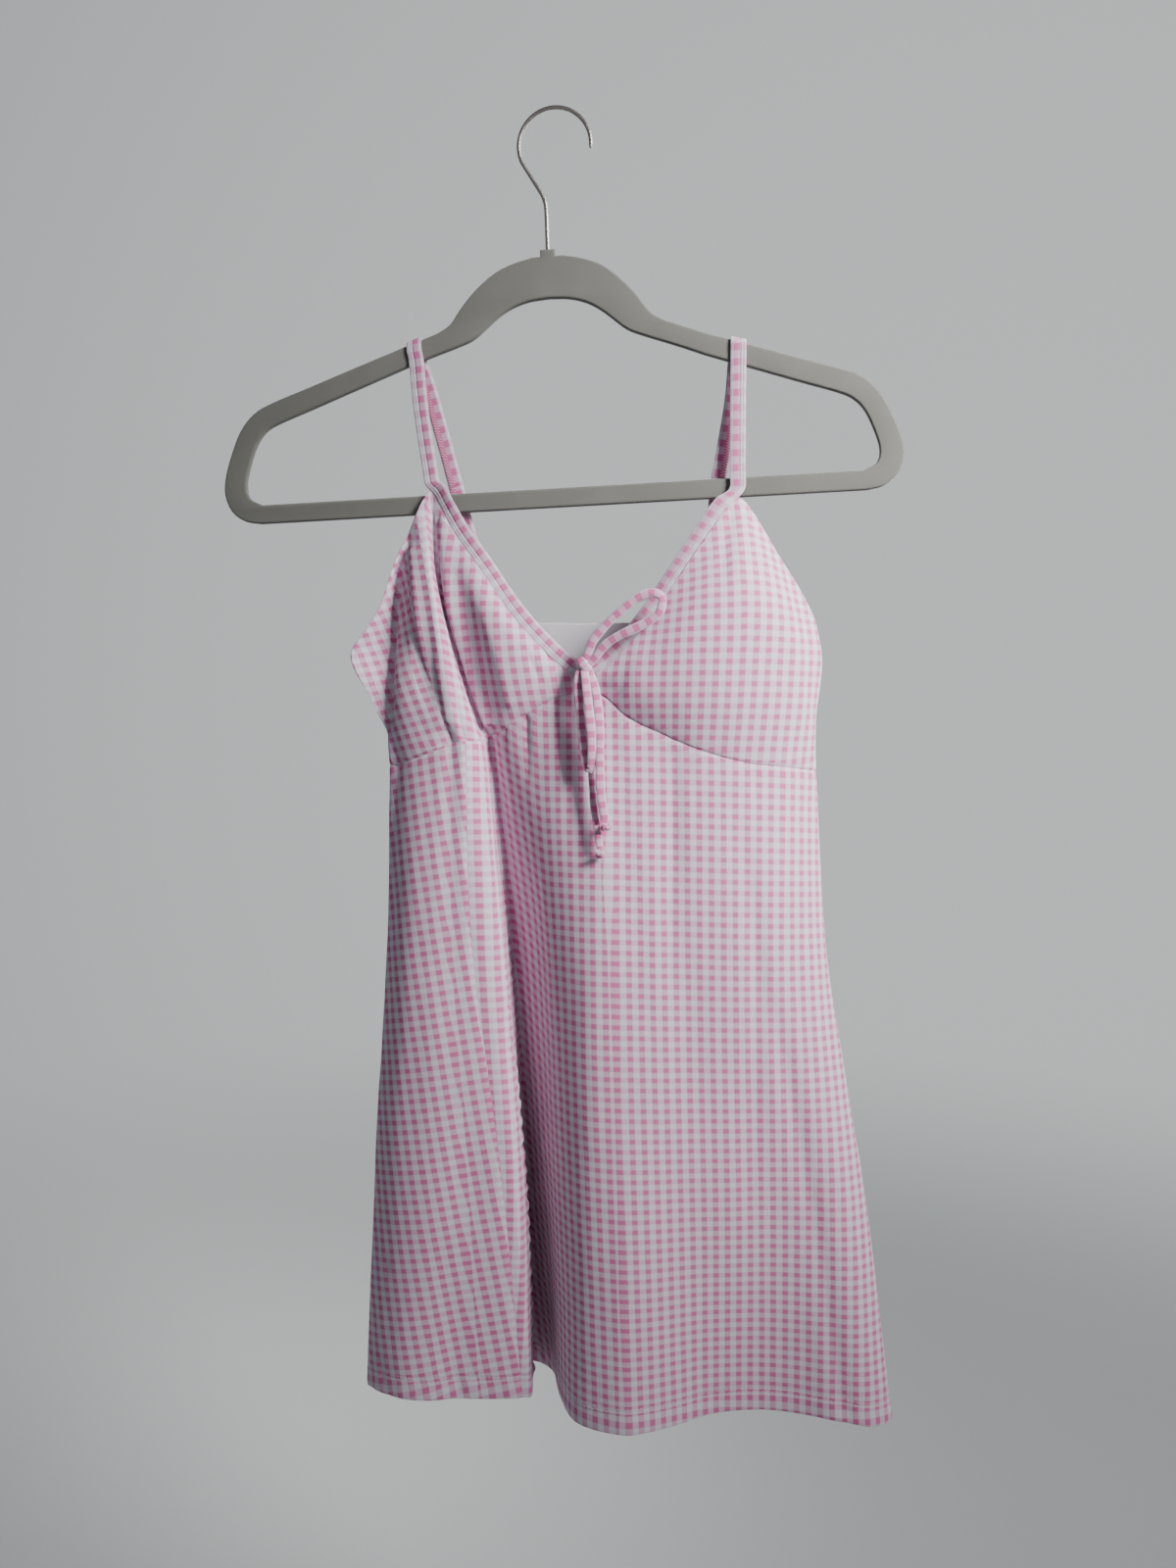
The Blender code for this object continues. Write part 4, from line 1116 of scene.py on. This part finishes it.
class StageMaker(bpy.types.Operator):
    """Sets up the camera, the plain floor and the soft light"""

    bl_idname = "dress.set_stage"
    bl_label = "Set the Stage"

    def execute(self, context):
        stage = context.scene.dress_stage
        camera = bpy.data.cameras.new("camera")
        camera.sensor_fit = "VERTICAL"
        camera.sensor_height = 36.0
        camera.lens = stage.lens
        camera.clip_start = 0.05
        camera.clip_end = 50.0
        view = bpy.data.objects.new("camera", camera)
        view.location = CAMERA_PLACE
        view.rotation_euler = (math.radians(90.0) - stage.pitch, 0.0, 0.0)
        context.scene.collection.objects.link(view)
        context.scene.camera = view
        self.floor(context, stage)
        for lamp in LAMPS:
            self.lamp(context, *lamp)
        self.surround(context, stage)
        return {"FINISHED"}

    def lamp(self, context, name, place, target, size, power, spread, tint):
        """A soft square lamp that looks at its target and isn't seen itself."""
        lamp = bpy.data.lights.new(name, "AREA")
        lamp.size = size
        lamp.energy = power
        lamp.color = tint
        lamp.spread = math.radians(spread)
        obj = bpy.data.objects.new(name, lamp)
        obj.location = place
        obj.rotation_euler = (Vector(target) - Vector(place)).to_track_quat("-Z", "Y").to_euler()
        obj.visible_camera = False
        context.scene.collection.objects.link(obj)

    def surround(self, context, stage):
        """A pale surround, brighter behind the dress than on the viewer's side."""
        world = bpy.data.worlds.new("pale surround")
        world.use_nodes = True
        nodes = Nodes(world.node_tree)
        side = nodes.node("ShaderNodeSeparateXYZ", values=[nodes.node("ShaderNodeTexCoord")])
        behind = Shade(nodes, side.socket.node.outputs[1])
        glow = nodes.ramp(behind * 0.8 + side * 0.25, 0.05, 0.85)
        shade = nodes.mix(glow, tuple(stage.dim_side), tuple(stage.bright_side))
        world.node_tree.links.new(shade.socket, world.node_tree.nodes["Background"].inputs["Color"])
        context.scene.world = world

    def floor(self, context, stage):
        """A wide round floor that fades out far from the dress."""
        work = bmesh.new()
        bmesh.ops.create_circle(work, cap_ends=True, radius=FLOOR_RADIUS, segments=96)
        mesh = bpy.data.meshes.new("floor")
        work.to_mesh(mesh)
        work.free()
        finish = Finish("pale floor", 0.75)
        where = finish.place()
        grain = finish.noise(where, 60.0, 4.0)
        base = tuple(stage.floor)
        finish.colour(finish.mix(grain * 0.5, base, tinted(base, 0.96)))
        finish.bump(grain, 0.001, 0.15)
        away = finish.node("ShaderNodeVectorMath", {"operation": "LENGTH"}, [where], output=1)
        finish.feed("Alpha", 1.0 - finish.ramp(away, 0.5, 3.2))
        mesh.materials.append(finish.material)
        floor = bpy.data.objects.new("floor", mesh)
        floor.location = (0.0, 0.0, -stage.floor_drop)
        context.scene.collection.objects.link(floor)


class TieMaker(bpy.types.Operator):
    """Makes the tie's two hanging tails with knotted ends, its loops and its knot"""

    bl_idname = "dress.tie_bow"
    bl_label = "Tie the Bow"

    def execute(self, context):
        tie = context.scene.dress_tie
        for tail, end, size, width in TAILS:
            frames = strand_frames(STRANDS[tail], 0.0022)
            section = rounded_section(tie.width * width, tie.thickness * 0.9, 14)
            piece = made(tube_mesh(tail + "_cloth", frames, section, TIE_FLAT_WIDTH), "tie", tail)
            path = [middle for middle, *_ in frames]
            run = (path[-1] - path[-3]).normalized()
            centre = path[-1] + run * (size / 2 + SEAM_GAP)
            knot = made(overhand_knot(end + "_cloth", centre, size, run), "tie", end)
            round(walked_along(path)[-1], 4)
        for loop in ("tie_loop_up", "tie_loop_down"):
            section = rounded_section(tie.width, tie.thickness, 16)
            made(tube_mesh(loop + "_cloth", strand_frames(STRANDS[loop], 0.0018), section, TIE_FLAT_WIDTH),
                 "tie", loop)
        self.band().parent = self.core()
        return {"FINISHED"}

    def band(self):
        """The band drawn round the bow's knot."""
        lean = Matrix.Rotation(KNOT_LEAN, 3, "Y")
        deep, high = KNOT_HALVES
        count = 40
        frames = []
        for k in range(count):
            a = 2 * math.pi * k / count
            offset = lean @ Vector((0.0, -math.cos(a) * deep, math.sin(a) * high))
            run = (lean @ Vector((0.0, math.sin(a) * deep, math.cos(a) * high))).normalized()
            out = square_to(offset, run)
            frames.append((mm(*KNOT_CENTRE) + offset, run.cross(out).normalized(), out,
                           1.0 + 0.06 * math.sin(5 * a)))
        section = rounded_section(*KNOT_BAND, 16)
        return made(tube_mesh("tie_knot_band", frames, section, TIE_FLAT_WIDTH, closed=True), "tie")

    def core(self):
        """The bow's knot, a ball with small gathers."""
        centre = mm(*KNOT_CENTRE)
        wide, deep, high = KNOT_SIZE
        core = bmesh.new()
        bmesh.ops.create_uvsphere(core, u_segments=36, v_segments=24, radius=0.5)
        for vertex in core.verts:
            x, y, z = vertex.co
            gather = 1.0 + 0.05 * math.sin(math.atan2(z, x) * KNOT_GATHERS) * (1.0 - abs(y) * 1.4)
            vertex.co = centre + Vector((x * wide * gather, y * deep, z * high * gather))
        flat = [(math.atan2(v.co.z - centre.z, v.co.x - centre.x) * 0.005, v.co.y - centre.y)
                for v in core.verts]
        knot = bpy.data.meshes.new("tie_knot_cloth")
        core.to_mesh(knot)
        core.free()
        return made(with_grain(knot, flat), "tie", "tie_knot", angle=80.0)


CLOTH_ANGLE = 62.0
WAIST_GAP = 0.00022
SIDE_GAP = 0.00003
LINING_WALL = 0.0009
HEM_STEP = 0.0002


class ClothMaker(bpy.types.Operator):
    """Makes the cups, the back of the bodice, its lining and the two halves of the skirt"""

    bl_idname = "dress.sew_cloth"
    bl_label = "Sew the Cloth"

    def execute(self, context):
        cloth = context.scene.dress_cloth
        parts = draped()
        for cut in CUTS:
            part = parts[cut.part]
            columns = piece_columns(part, cut.first, cut.last)
            normals = part.normals[:, columns]
            grid = self.drawn_in(part.points()[:, columns], part.name)
            flat = grain_of(part, columns, cut.runs)
            thick = np.full(grid.shape[:2], cloth.wall)
            if part.name == "skirt":
                above = (part.to_end[:, columns] - cloth.hem_depth - HEM_STEP * 2) / HEM_STEP
                turned = 1 / (1 + np.exp(np.minimum(above, 50.0)))
                thick += (cloth.hem_wall - cloth.wall) * turned
            outer = grid + normals * cloth.wall / 2
            inner = grid - normals * (thick - cloth.wall / 2)[..., None]
            mesh = wall_mesh(cut.node + "_cloth", outer, inner, flat)
            self.declare(made(mesh, "cloth", cut.node, angle=CLOTH_ANGLE), flat)
        self.line(cloth, parts["bodice"])
        return {"FINISHED"}

    def drawn_in(self, grid, name):
        """Draws the piece in by half a gap at the waist seam, and by a hair at its side seams."""
        grid = grid.copy()
        seam, inside = (-1, -2) if name == "bodice" else (0, 1)
        grid[seam] += unit(grid[inside] - grid[seam]) * WAIST_GAP
        grid[:, 0] += unit(grid[:, 1] - grid[:, 0]) * SIDE_GAP
        grid[:, -1] += unit(grid[:, -2] - grid[:, -1]) * SIDE_GAP
        return grid

    def declare(self, piece, flat):
        """Works out the flat piece's width, length and area, and leaves them unused."""
        size = flat.max(axis=(0, 1)) - flat.min(axis=(0, 1))
        first = flat[1:, 1:] - flat[:-1, :-1]
        second = flat[1:, :-1] - flat[:-1, 1:]
        area = float(np.abs(first[..., 0] * second[..., 1] - first[..., 1] * second[..., 0]).sum() / 2)

    def line(self, cloth, part):
        """The lining, just inside the back of the bodice."""
        columns = piece_columns(part, "side seam right", "left edge")
        grid = part.points()[:, columns]
        normals = part.normals[:, columns]
        near = cloth.wall / 2 + SEAM_GAP
        outer = grid - normals * near
        inner = grid - normals * (near + LINING_WALL)
        flat = grain_of(part, columns, (BACK_GRAIN,))
        mesh = wall_mesh("bodice_back_lining_cloth", outer, inner, flat)
        self.declare(made(mesh, "lining", "bodice_back_lining", angle=CLOTH_ANGLE), flat)


# Straps: side, neck edge's first and last gore, the rise in front of the hanger, where it crosses the
# arm and its lean there, the fall behind it, and the tail down to the back. Stations are x, depth,
# height and lean
STRAPS = (
    ("left", "centre front", "deep fold",
     ((-79.5, -5.2, -233, 10), (-81, -4.4, -225, 8), (-85, -3.8, -199, 7), (-88, -3.7, -174, 5),
      (-89.5, -3.7, -155, 12)), -91, 20.5,
     ((-88, 3.8, -155, 12), (-82, 3.9, -172, -14), (-73, 4.2, -204, -15), (-65, 4.6, -234, -15)),
     ((-64.9, 4.6, -234.4, -15), (-59, 5.4, -257, -15), (-50, 7.6, -290, -14), (-42, 10, -319.8, -7))),
    ("right", "centre front", "right strap inner",
     ((116.5, -5.4, -241, -3), (117, -4.4, -229, 0), (117, -3.8, -204, 0), (117, -3.7, -180, 0),
      (117, -3.7, -160, -10)), 117, -15.6,
     ((116, 3.8, -160, -8), (114, 3.9, -185, 5), (109, 4.2, -216, 6), (106, 4.6, -232, 6)),
     ((105.9, 4.6, -232.8, 6), (103, 5.4, -264, 6), (99, 7.6, -296, 6), (95.6, 10, -322.4, 4))),
)
# The strap's way over the arm: depth, and height above its top
ARM_BEND = ((-3.8, -5.0), (-3.8, -1.0), (-2.7, 1.1), (0.0, 1.9), (2.7, 1.1), (3.8, -1.0), (3.8, -5.0))
STATION_SPACING = 0.0022
STRAP_STITCH = (0.0026, 0.0004, 0.00012)
EDGE_FROM = 0.74
EDGE_THINNING = 0.6
NEEDLE_GROOVE = (0.00036, 0.045)
LOOPS_HALF_WIDTH = 0.38
LOOPS_RISE = 0.00014
# Across a strap, in half widths: its two rows of needle holes, and its mesh's points
NEEDLES = (-0.62, -0.22)
STRAP_MARKS = (-1.0, -0.95, -0.86, -0.74, -0.67, -0.62, -0.57, -0.42, -0.27, -0.22, -0.17, 0.1, 0.45, 0.75,
               0.9, 1.0)


class StrapMaker(bpy.types.Operator):
    """Makes each side's neck binding with its shoulder strap, and the strap's end on the back"""

    bl_idname = "dress.bind_straps"
    bl_label = "Bind the Neck and Straps"

    def execute(self, context):
        straps = context.scene.dress_straps
        for side, neck_start, neck_end, rise, over, arm_lean, fall, tail in STRAPS:
            top = arm_top(over)
            bend = tuple((over, depth, top + up, arm_lean) for depth, up in ARM_BEND)
            neck = self.neck_frames(neck_start, neck_end, straps)
            run = self.station_frames(rise + bend + fall)
            if neck[-1][1].dot(run[0][1]) < 0:
                run = [(p, -across, outward) for p, across, outward in run]
            self.ribbon(f"neck_binding_and_strap_{side}", self.smoothed(neck + run), straps)
            self.ribbon(f"back_strap_{side}", self.smoothed(self.station_frames(tail)), straps)
        return {"FINISHED"}

    def neck_frames(self, first, last, straps):
        """Middle, width and outward directions of the binding along a cup's neck edge."""
        part = draped()["bodice"]
        start, end = column_of(part, first), column_of(part, last)
        step = 1 if end > start else -1
        columns = list(range(start, end + step, step))
        edge = [Vector(part.base[0, c]) for c in columns]
        frames = []
        for i in sorted({*range(0, len(edge), 2), len(edge) - 1}):
            outward = Vector(part.normals[0, columns[i]])
            across = direction_at(edge, i).cross(outward).normalized()
            if across.dot(edge[i] - Vector(part.base[3, columns[i]])) < 0:
                across.negate()
            frames.append((edge[i] + across * (SEAM_GAP + straps.width / 2), across, outward))
        return frames

    def station_frames(self, stations):
        """Middle, width and outward directions of the strap at its stations."""
        points = [spot(x, depth, z) for x, depth, z, _ in stations]
        frames = []
        for i, station in enumerate(stations):
            along = direction_at(points, i)
            lean = math.radians(station[3])
            across = square_to(Vector((math.cos(lean), -YAW_SLOPE * math.cos(lean), math.sin(lean))), along)
            frames.append((points[i], across, across.cross(along).normalized()))
        return frames

    def smoothed(self, frames):
        """More frames on the smooth line through the given ones."""
        out = []
        middles, widths, outwards = zip(*frames)
        for i in range(len(frames) - 1):
            steps = max(1, round((middles[i + 1] - middles[i]).length / STATION_SPACING))
            for t in (i + k / steps for k in range(steps)):
                out.append((curve_at(middles, t), curve_at(widths, t).normalized(),
                            curve_at(outwards, t).normalized()))
        return [*out, frames[-1]]

    def ribbon(self, name, frames, straps):
        """A folded strip with soft edges, two rows of topstitch and their looped underside."""
        half = straps.width / 2
        surface_height = straps.thickness / 2

        def height(m, grooved):
            """Half the strip's thickness at a mark, less near its edges and at the needle rows."""
            full = surface_height * (1.0 - EDGE_THINNING * max(0.0, abs(m) - EDGE_FROM) / (1.0 - EDGE_FROM))
            depth, width = NEEDLE_GROOVE
            return full - grooved * sum(depth * math.exp(-((m - n) / width) ** 2) for n in NEEDLES)

        outer = [[p + a * (half * m) + o * height(m, True) for m in STRAP_MARKS] for p, a, o in frames]
        inner = [[p + a * (half * m) - o * height(m, False) for m in STRAP_MARKS] for p, a, o in frames]
        walked = walked_along([p for p, _, _ in frames])
        flat = [[(half * m, along) for m in STRAP_MARKS] for along in walked]
        mesh = wall_mesh(name + "_cloth", np.array(outer), np.array(inner), np.array(flat))
        piece = made(mesh, "strap", name)
        rows = [([p + a * (half * n) + o * (surface_height - 0.0001) for p, a, o in frames],
                 [o for _, _, o in frames]) for n in NEEDLES]
        topstitch = made(stitch_mesh(name + "_topstitch", rows, *STRAP_STITCH), "thread")
        under = made(self.underside(name, frames, walked, half, surface_height), "underside")

    def underside(self, name, frames, walked, half, surface_height):
        """The strip of loops on the ribbon's inner face, between its needle rows."""
        marks = np.linspace(NEEDLES[0] - 0.16, NEEDLES[1] + 0.16, 6)
        middle = sum(NEEDLES) / 2
        rise = [LOOPS_RISE * math.sqrt(max(0.0, 1.0 - ((m - middle) / LOOPS_HALF_WIDTH) ** 2)) for m in marks]
        outer = [[p + a * (half * m) - o * (surface_height + 0.00006 + r) for m, r in zip(marks, rise)]
                 for p, a, o in frames]
        inner = [[p + a * (half * m) - o * (surface_height - 0.0003) for m in marks] for p, a, o in frames]
        flat = [[(half * (m - middle), along) for m in marks] for along in walked]
        return wall_mesh(name + "_underside", np.array(outer), np.array(inner), np.array(flat))


# Half of the hanger's outlines, from its middle out: half width and height; and the stem's rows
HANGER_OUTER = ((10, -90.8), (22, -93.5), (33, -97.6), (42, -103.6), (51, -111.4), (59, -120.5),
                (65, -128.4), (73, -133.2), (84, -137), (120, -148.6), (160, -161.8), (188, -171),
                (201, -177.4), (211, -188.6), (218.5, -205), (223, -219), (223.6, -230), (219.5, -240.5),
                (211, -247.2), (200, -249.5))
HANGER_INNER = ((0, -117), (13, -118), (24, -121.2), (33, -126.3), (42, -133.4), (50, -139.2),
                (60, -143), (86, -151), (120, -162.6), (160, -176.4), (184, -184.6), (193, -189.4),
                (200, -198), (206, -213), (208.5, -224), (206.6, -232.4), (198, -237.2))
STEM = ((-3.6, -49.5), (-0.9, -55.5), (0, -62.5))
NUB_HALF_WIDTH = 0.0048
NUB_TOP = -0.0865
NUB_FOOT = -0.0908
RIGHT_ARM_SHARE = 0.986
RIGHT_ARM_DROP = 0.0036
OUTLINE_SPACING = 0.0035
CROOK_RADIUS = 0.0232
TIP_SCALES = (0.62, 0.9, 1.0)
CROOK_TIP_ANGLE = math.radians(-9.0)
CROOK_END_ANGLE = math.radians(203.0)


def bent_arm(point):
    """The moulding's right arm is bent down a little, and ends a little short of the left one."""
    out = point.x - HANGER_MIDDLE
    outwards = min(max((out - 0.04) / 0.06, 0), 1)
    above_bar = min(max((point.y + 0.238) / 0.05, 0), 1)
    return Vector((HANGER_MIDDLE + out * RIGHT_ARM_SHARE, point.y - RIGHT_ARM_DROP * outwards * above_bar, 0))


def hanger_outline(half, spacing):
    """A whole outline in the hanger's plane, from one half's points."""
    right = resampled([mm(HANGER_MIDDLE * 1000 + x, z, 0) for x, z in half], spacing)
    left = [Vector((2 * HANGER_MIDDLE - p.x, p.y, 0)) for p in reversed(right)]
    right = [bent_arm(p) for p in right]
    return left + right if half[0][0] > 0 else left + right[1:]


def hanger_placement():
    """The turn and tilt of the hanger on its hook."""
    return Matrix.Rotation(HANGER_YAW, 4, "Z") @ Matrix.Rotation(HANGER_TILT, 4, "Y")


def arm_top(x):
    """The height of the hanger's upper edge at x, in millimetres, after its tilt and yaw."""
    turned = [hanger_placement() @ Vector((p.x, 0, p.y)) for p in hanger_outline(HANGER_OUTER, 0.012)]
    best = -1.0
    for p, q in zip(turned, turned[1:]):
        if (p.x - x / 1000) * (q.x - x / 1000) <= 0 and p.x != q.x:
            best = max(best, p.z + (q.z - p.z) * (x / 1000 - p.x) / (q.x - p.x))
    return best * 1000


class HangerMaker(bpy.types.Operator):
    """Makes the flocked body of the hanger"""

    bl_idname = "dress.mould_hanger"
    bl_label = "Mould the Hanger"

    def execute(self, context):
        hanger = context.scene.dress_hanger
        curve = bpy.data.curves.new("hanger_outline", "CURVE")
        curve.dimensions = "2D"
        curve.fill_mode = "BOTH"
        curve.extrude = hanger.thickness / 2 - hanger.rounding
        curve.bevel_depth = hanger.rounding
        curve.bevel_resolution = 4
        curve.offset = -hanger.rounding
        nub = [Vector((HANGER_MIDDLE + side * NUB_HALF_WIDTH, z, 0))
               for side, z in ((-1, NUB_FOOT), (-1, NUB_TOP), (1, NUB_TOP), (1, NUB_FOOT))]
        outer = hanger_outline(HANGER_OUTER, OUTLINE_SPACING)
        half = len(outer) // 2
        for outline in (outer[:half] + nub + outer[half:], hanger_outline(HANGER_INNER, OUTLINE_SPACING)):
            spline = curve.splines.new("POLY")
            spline.points.add(len(outline) - 1)
            for point, co in zip(spline.points, outline):
                point.co = (*co, 1.0)
            spline.use_cyclic_u = True
        guide = bpy.data.objects.new("hanger_outline", curve)
        context.scene.collection.objects.link(guide)
        shape = guide.evaluated_get(context.evaluated_depsgraph_get())
        mesh = bpy.data.meshes.new_from_object(shape)
        mesh.name = "hanger_body_flock"
        bpy.data.objects.remove(guide)
        work = bmesh.new()
        work.from_mesh(mesh)
        bmesh.ops.remove_doubles(work, verts=work.verts, dist=0.00002)
        work.transform(hanger_placement() @ Matrix.Rotation(math.radians(90), 4, "X"))
        bmesh.ops.recalc_face_normals(work, faces=work.faces)
        work.to_mesh(mesh)
        work.free()
        mesh.materials.clear()
        made(mesh, "flock", "hanger_body", angle=40.0)
        return {"FINISHED"}


class HookMaker(bpy.types.Operator):
    """Bends the wire hook"""

    bl_idname = "dress.bend_hook"
    bl_label = "Bend the Hook"

    def execute(self, context):
        wire = context.scene.dress_hanger.wire
        centre = Vector((0, 0, wire / 2 - CROOK_RADIUS))
        steps = 48
        turn = (CROOK_END_ANGLE - CROOK_TIP_ANGLE) / steps
        angles = [CROOK_TIP_ANGLE + turn * k for k in range(steps + 1)]
        crook = [centre + Vector((math.cos(a), 0, math.sin(a))) * CROOK_RADIUS for a in angles]
        stem = [mm(HANGER_MIDDLE * 1000 + x, 0, z) for x, z in STEM]
        foot = Vector((HANGER_MIDDLE, 0, NUB_TOP + SEAM_GAP))
        route = crook[:-2] + resampled([crook[-2], crook[-1]] + stem + [foot], 0.002)
        frames = []
        for i, point in enumerate(route):
            out = Vector((0, -1, 0))
            across = direction_at(route, i).cross(out).normalized()
            frames.append((point, across, out, TIP_SCALES[min(i, 2)]))
        mesh = tube_mesh("hanger_hook_wire", frames, rounded_section(wire, wire, 16), 0.008)
        mesh.transform(hanger_placement())
        made(mesh, "wire", "hanger_hook", angle=50.0)
        return {"FINISHED"}


STITCH_GAP = 0.0005
HEM_THREAD = 0.00016
EDGE_THREAD = 0.00014


class StitchMaker(bpy.types.Operator):
    """Sews the double topstitching of the hem, the armholes and the back's top edge"""

    bl_idname = "dress.topstitch"
    bl_label = "Topstitch"

    def execute(self, context):
        cloth = context.scene.dress_cloth
        runs = [self.above_hem(draped()["skirt"], up, cloth.wall / 2) for up in hem_rows(cloth)]
        made(stitch_mesh("hem_topstitch", runs, cloth.stitch, STITCH_GAP, HEM_THREAD), "thread")
        part = draped()["bodice"]
        columns = piece_columns(part, "right strap outer", "side, left crest")
        runs = [self.below_edge(part, columns, down, cloth.wall / 2)
                for down in (cloth.edge_turn, cloth.edge_turn + cloth.needle_gap)]
        made(stitch_mesh("edge_topstitch", runs, cloth.stitch, STITCH_GAP, EDGE_THREAD), "thread")
        return {"FINISHED"}

    def above_hem(self, part, up, out):
        """Points and outward directions on the row that lies a fixed way above the skirt's hem."""
        row = int(np.argmin(abs(part.to_end[:, 0] - up)))
        points = part.points()[row] + part.normals[row] * out
        return [np.concatenate([ring, ring[:1]]) for ring in (points, part.normals[row])]

    def below_edge(self, part, columns, down, out):
        """Points and outward directions a fixed way below the bodice's top edge."""
        place, outward = (
            np.array([[np.interp(down, part.from_top[:, c], grid[:, c, k]) for k in range(3)] for c in columns])
            for grid in (part.points(), part.normals))
        outward = unit(outward)
        return place + outward * out, outward


# ---- Registration ----

class DressPanel(bpy.types.Panel):
    """Lists the dress's makers and their sizes"""

    bl_idname = "VIEW3D_PT_dress"
    bl_label = "Gingham Dress"
    bl_space_type = "VIEW_3D"
    bl_region_type = "UI"
    bl_category = "Dress"

    def draw(self, context):
        for maker in MAKERS:
            self.layout.operator(maker.bl_idname)
        for name in GROUPS:
            box = self.layout.box()
            group = getattr(context.scene, name)
            for key in group.__annotations__:
                box.prop(group, key)


GROUPS = {"dress_cloth": DressCloth, "dress_straps": DressStraps, "dress_tie": DressTie,
          "dress_hanger": DressHanger, "dress_stage": DressStage}
MAKERS = (StageMaker, TieMaker, ClothMaker, StrapMaker, StitchMaker, HangerMaker, HookMaker)


def register():
    for kind in (*GROUPS.values(), *MAKERS, DressPanel):
        bpy.utils.register_class(kind)
    for name, kind in GROUPS.items():
        setattr(bpy.types.Scene, name, bpy.props.PointerProperty(type=kind))


def unregister():
    for name in GROUPS:
        delattr(bpy.types.Scene, name)
    for kind in (DressPanel, *reversed(MAKERS), *reversed(GROUPS.values())):
        bpy.utils.unregister_class(kind)


def main():
    register()
    bpy.ops.dress.set_stage()
    bpy.ops.dress.tie_bow()
    bpy.ops.dress.sew_cloth()
    bpy.ops.dress.bind_straps()
    bpy.ops.dress.topstitch()
    bpy.ops.dress.mould_hanger()
    bpy.ops.dress.bend_hook()


if __name__ == "__main__":
    main()
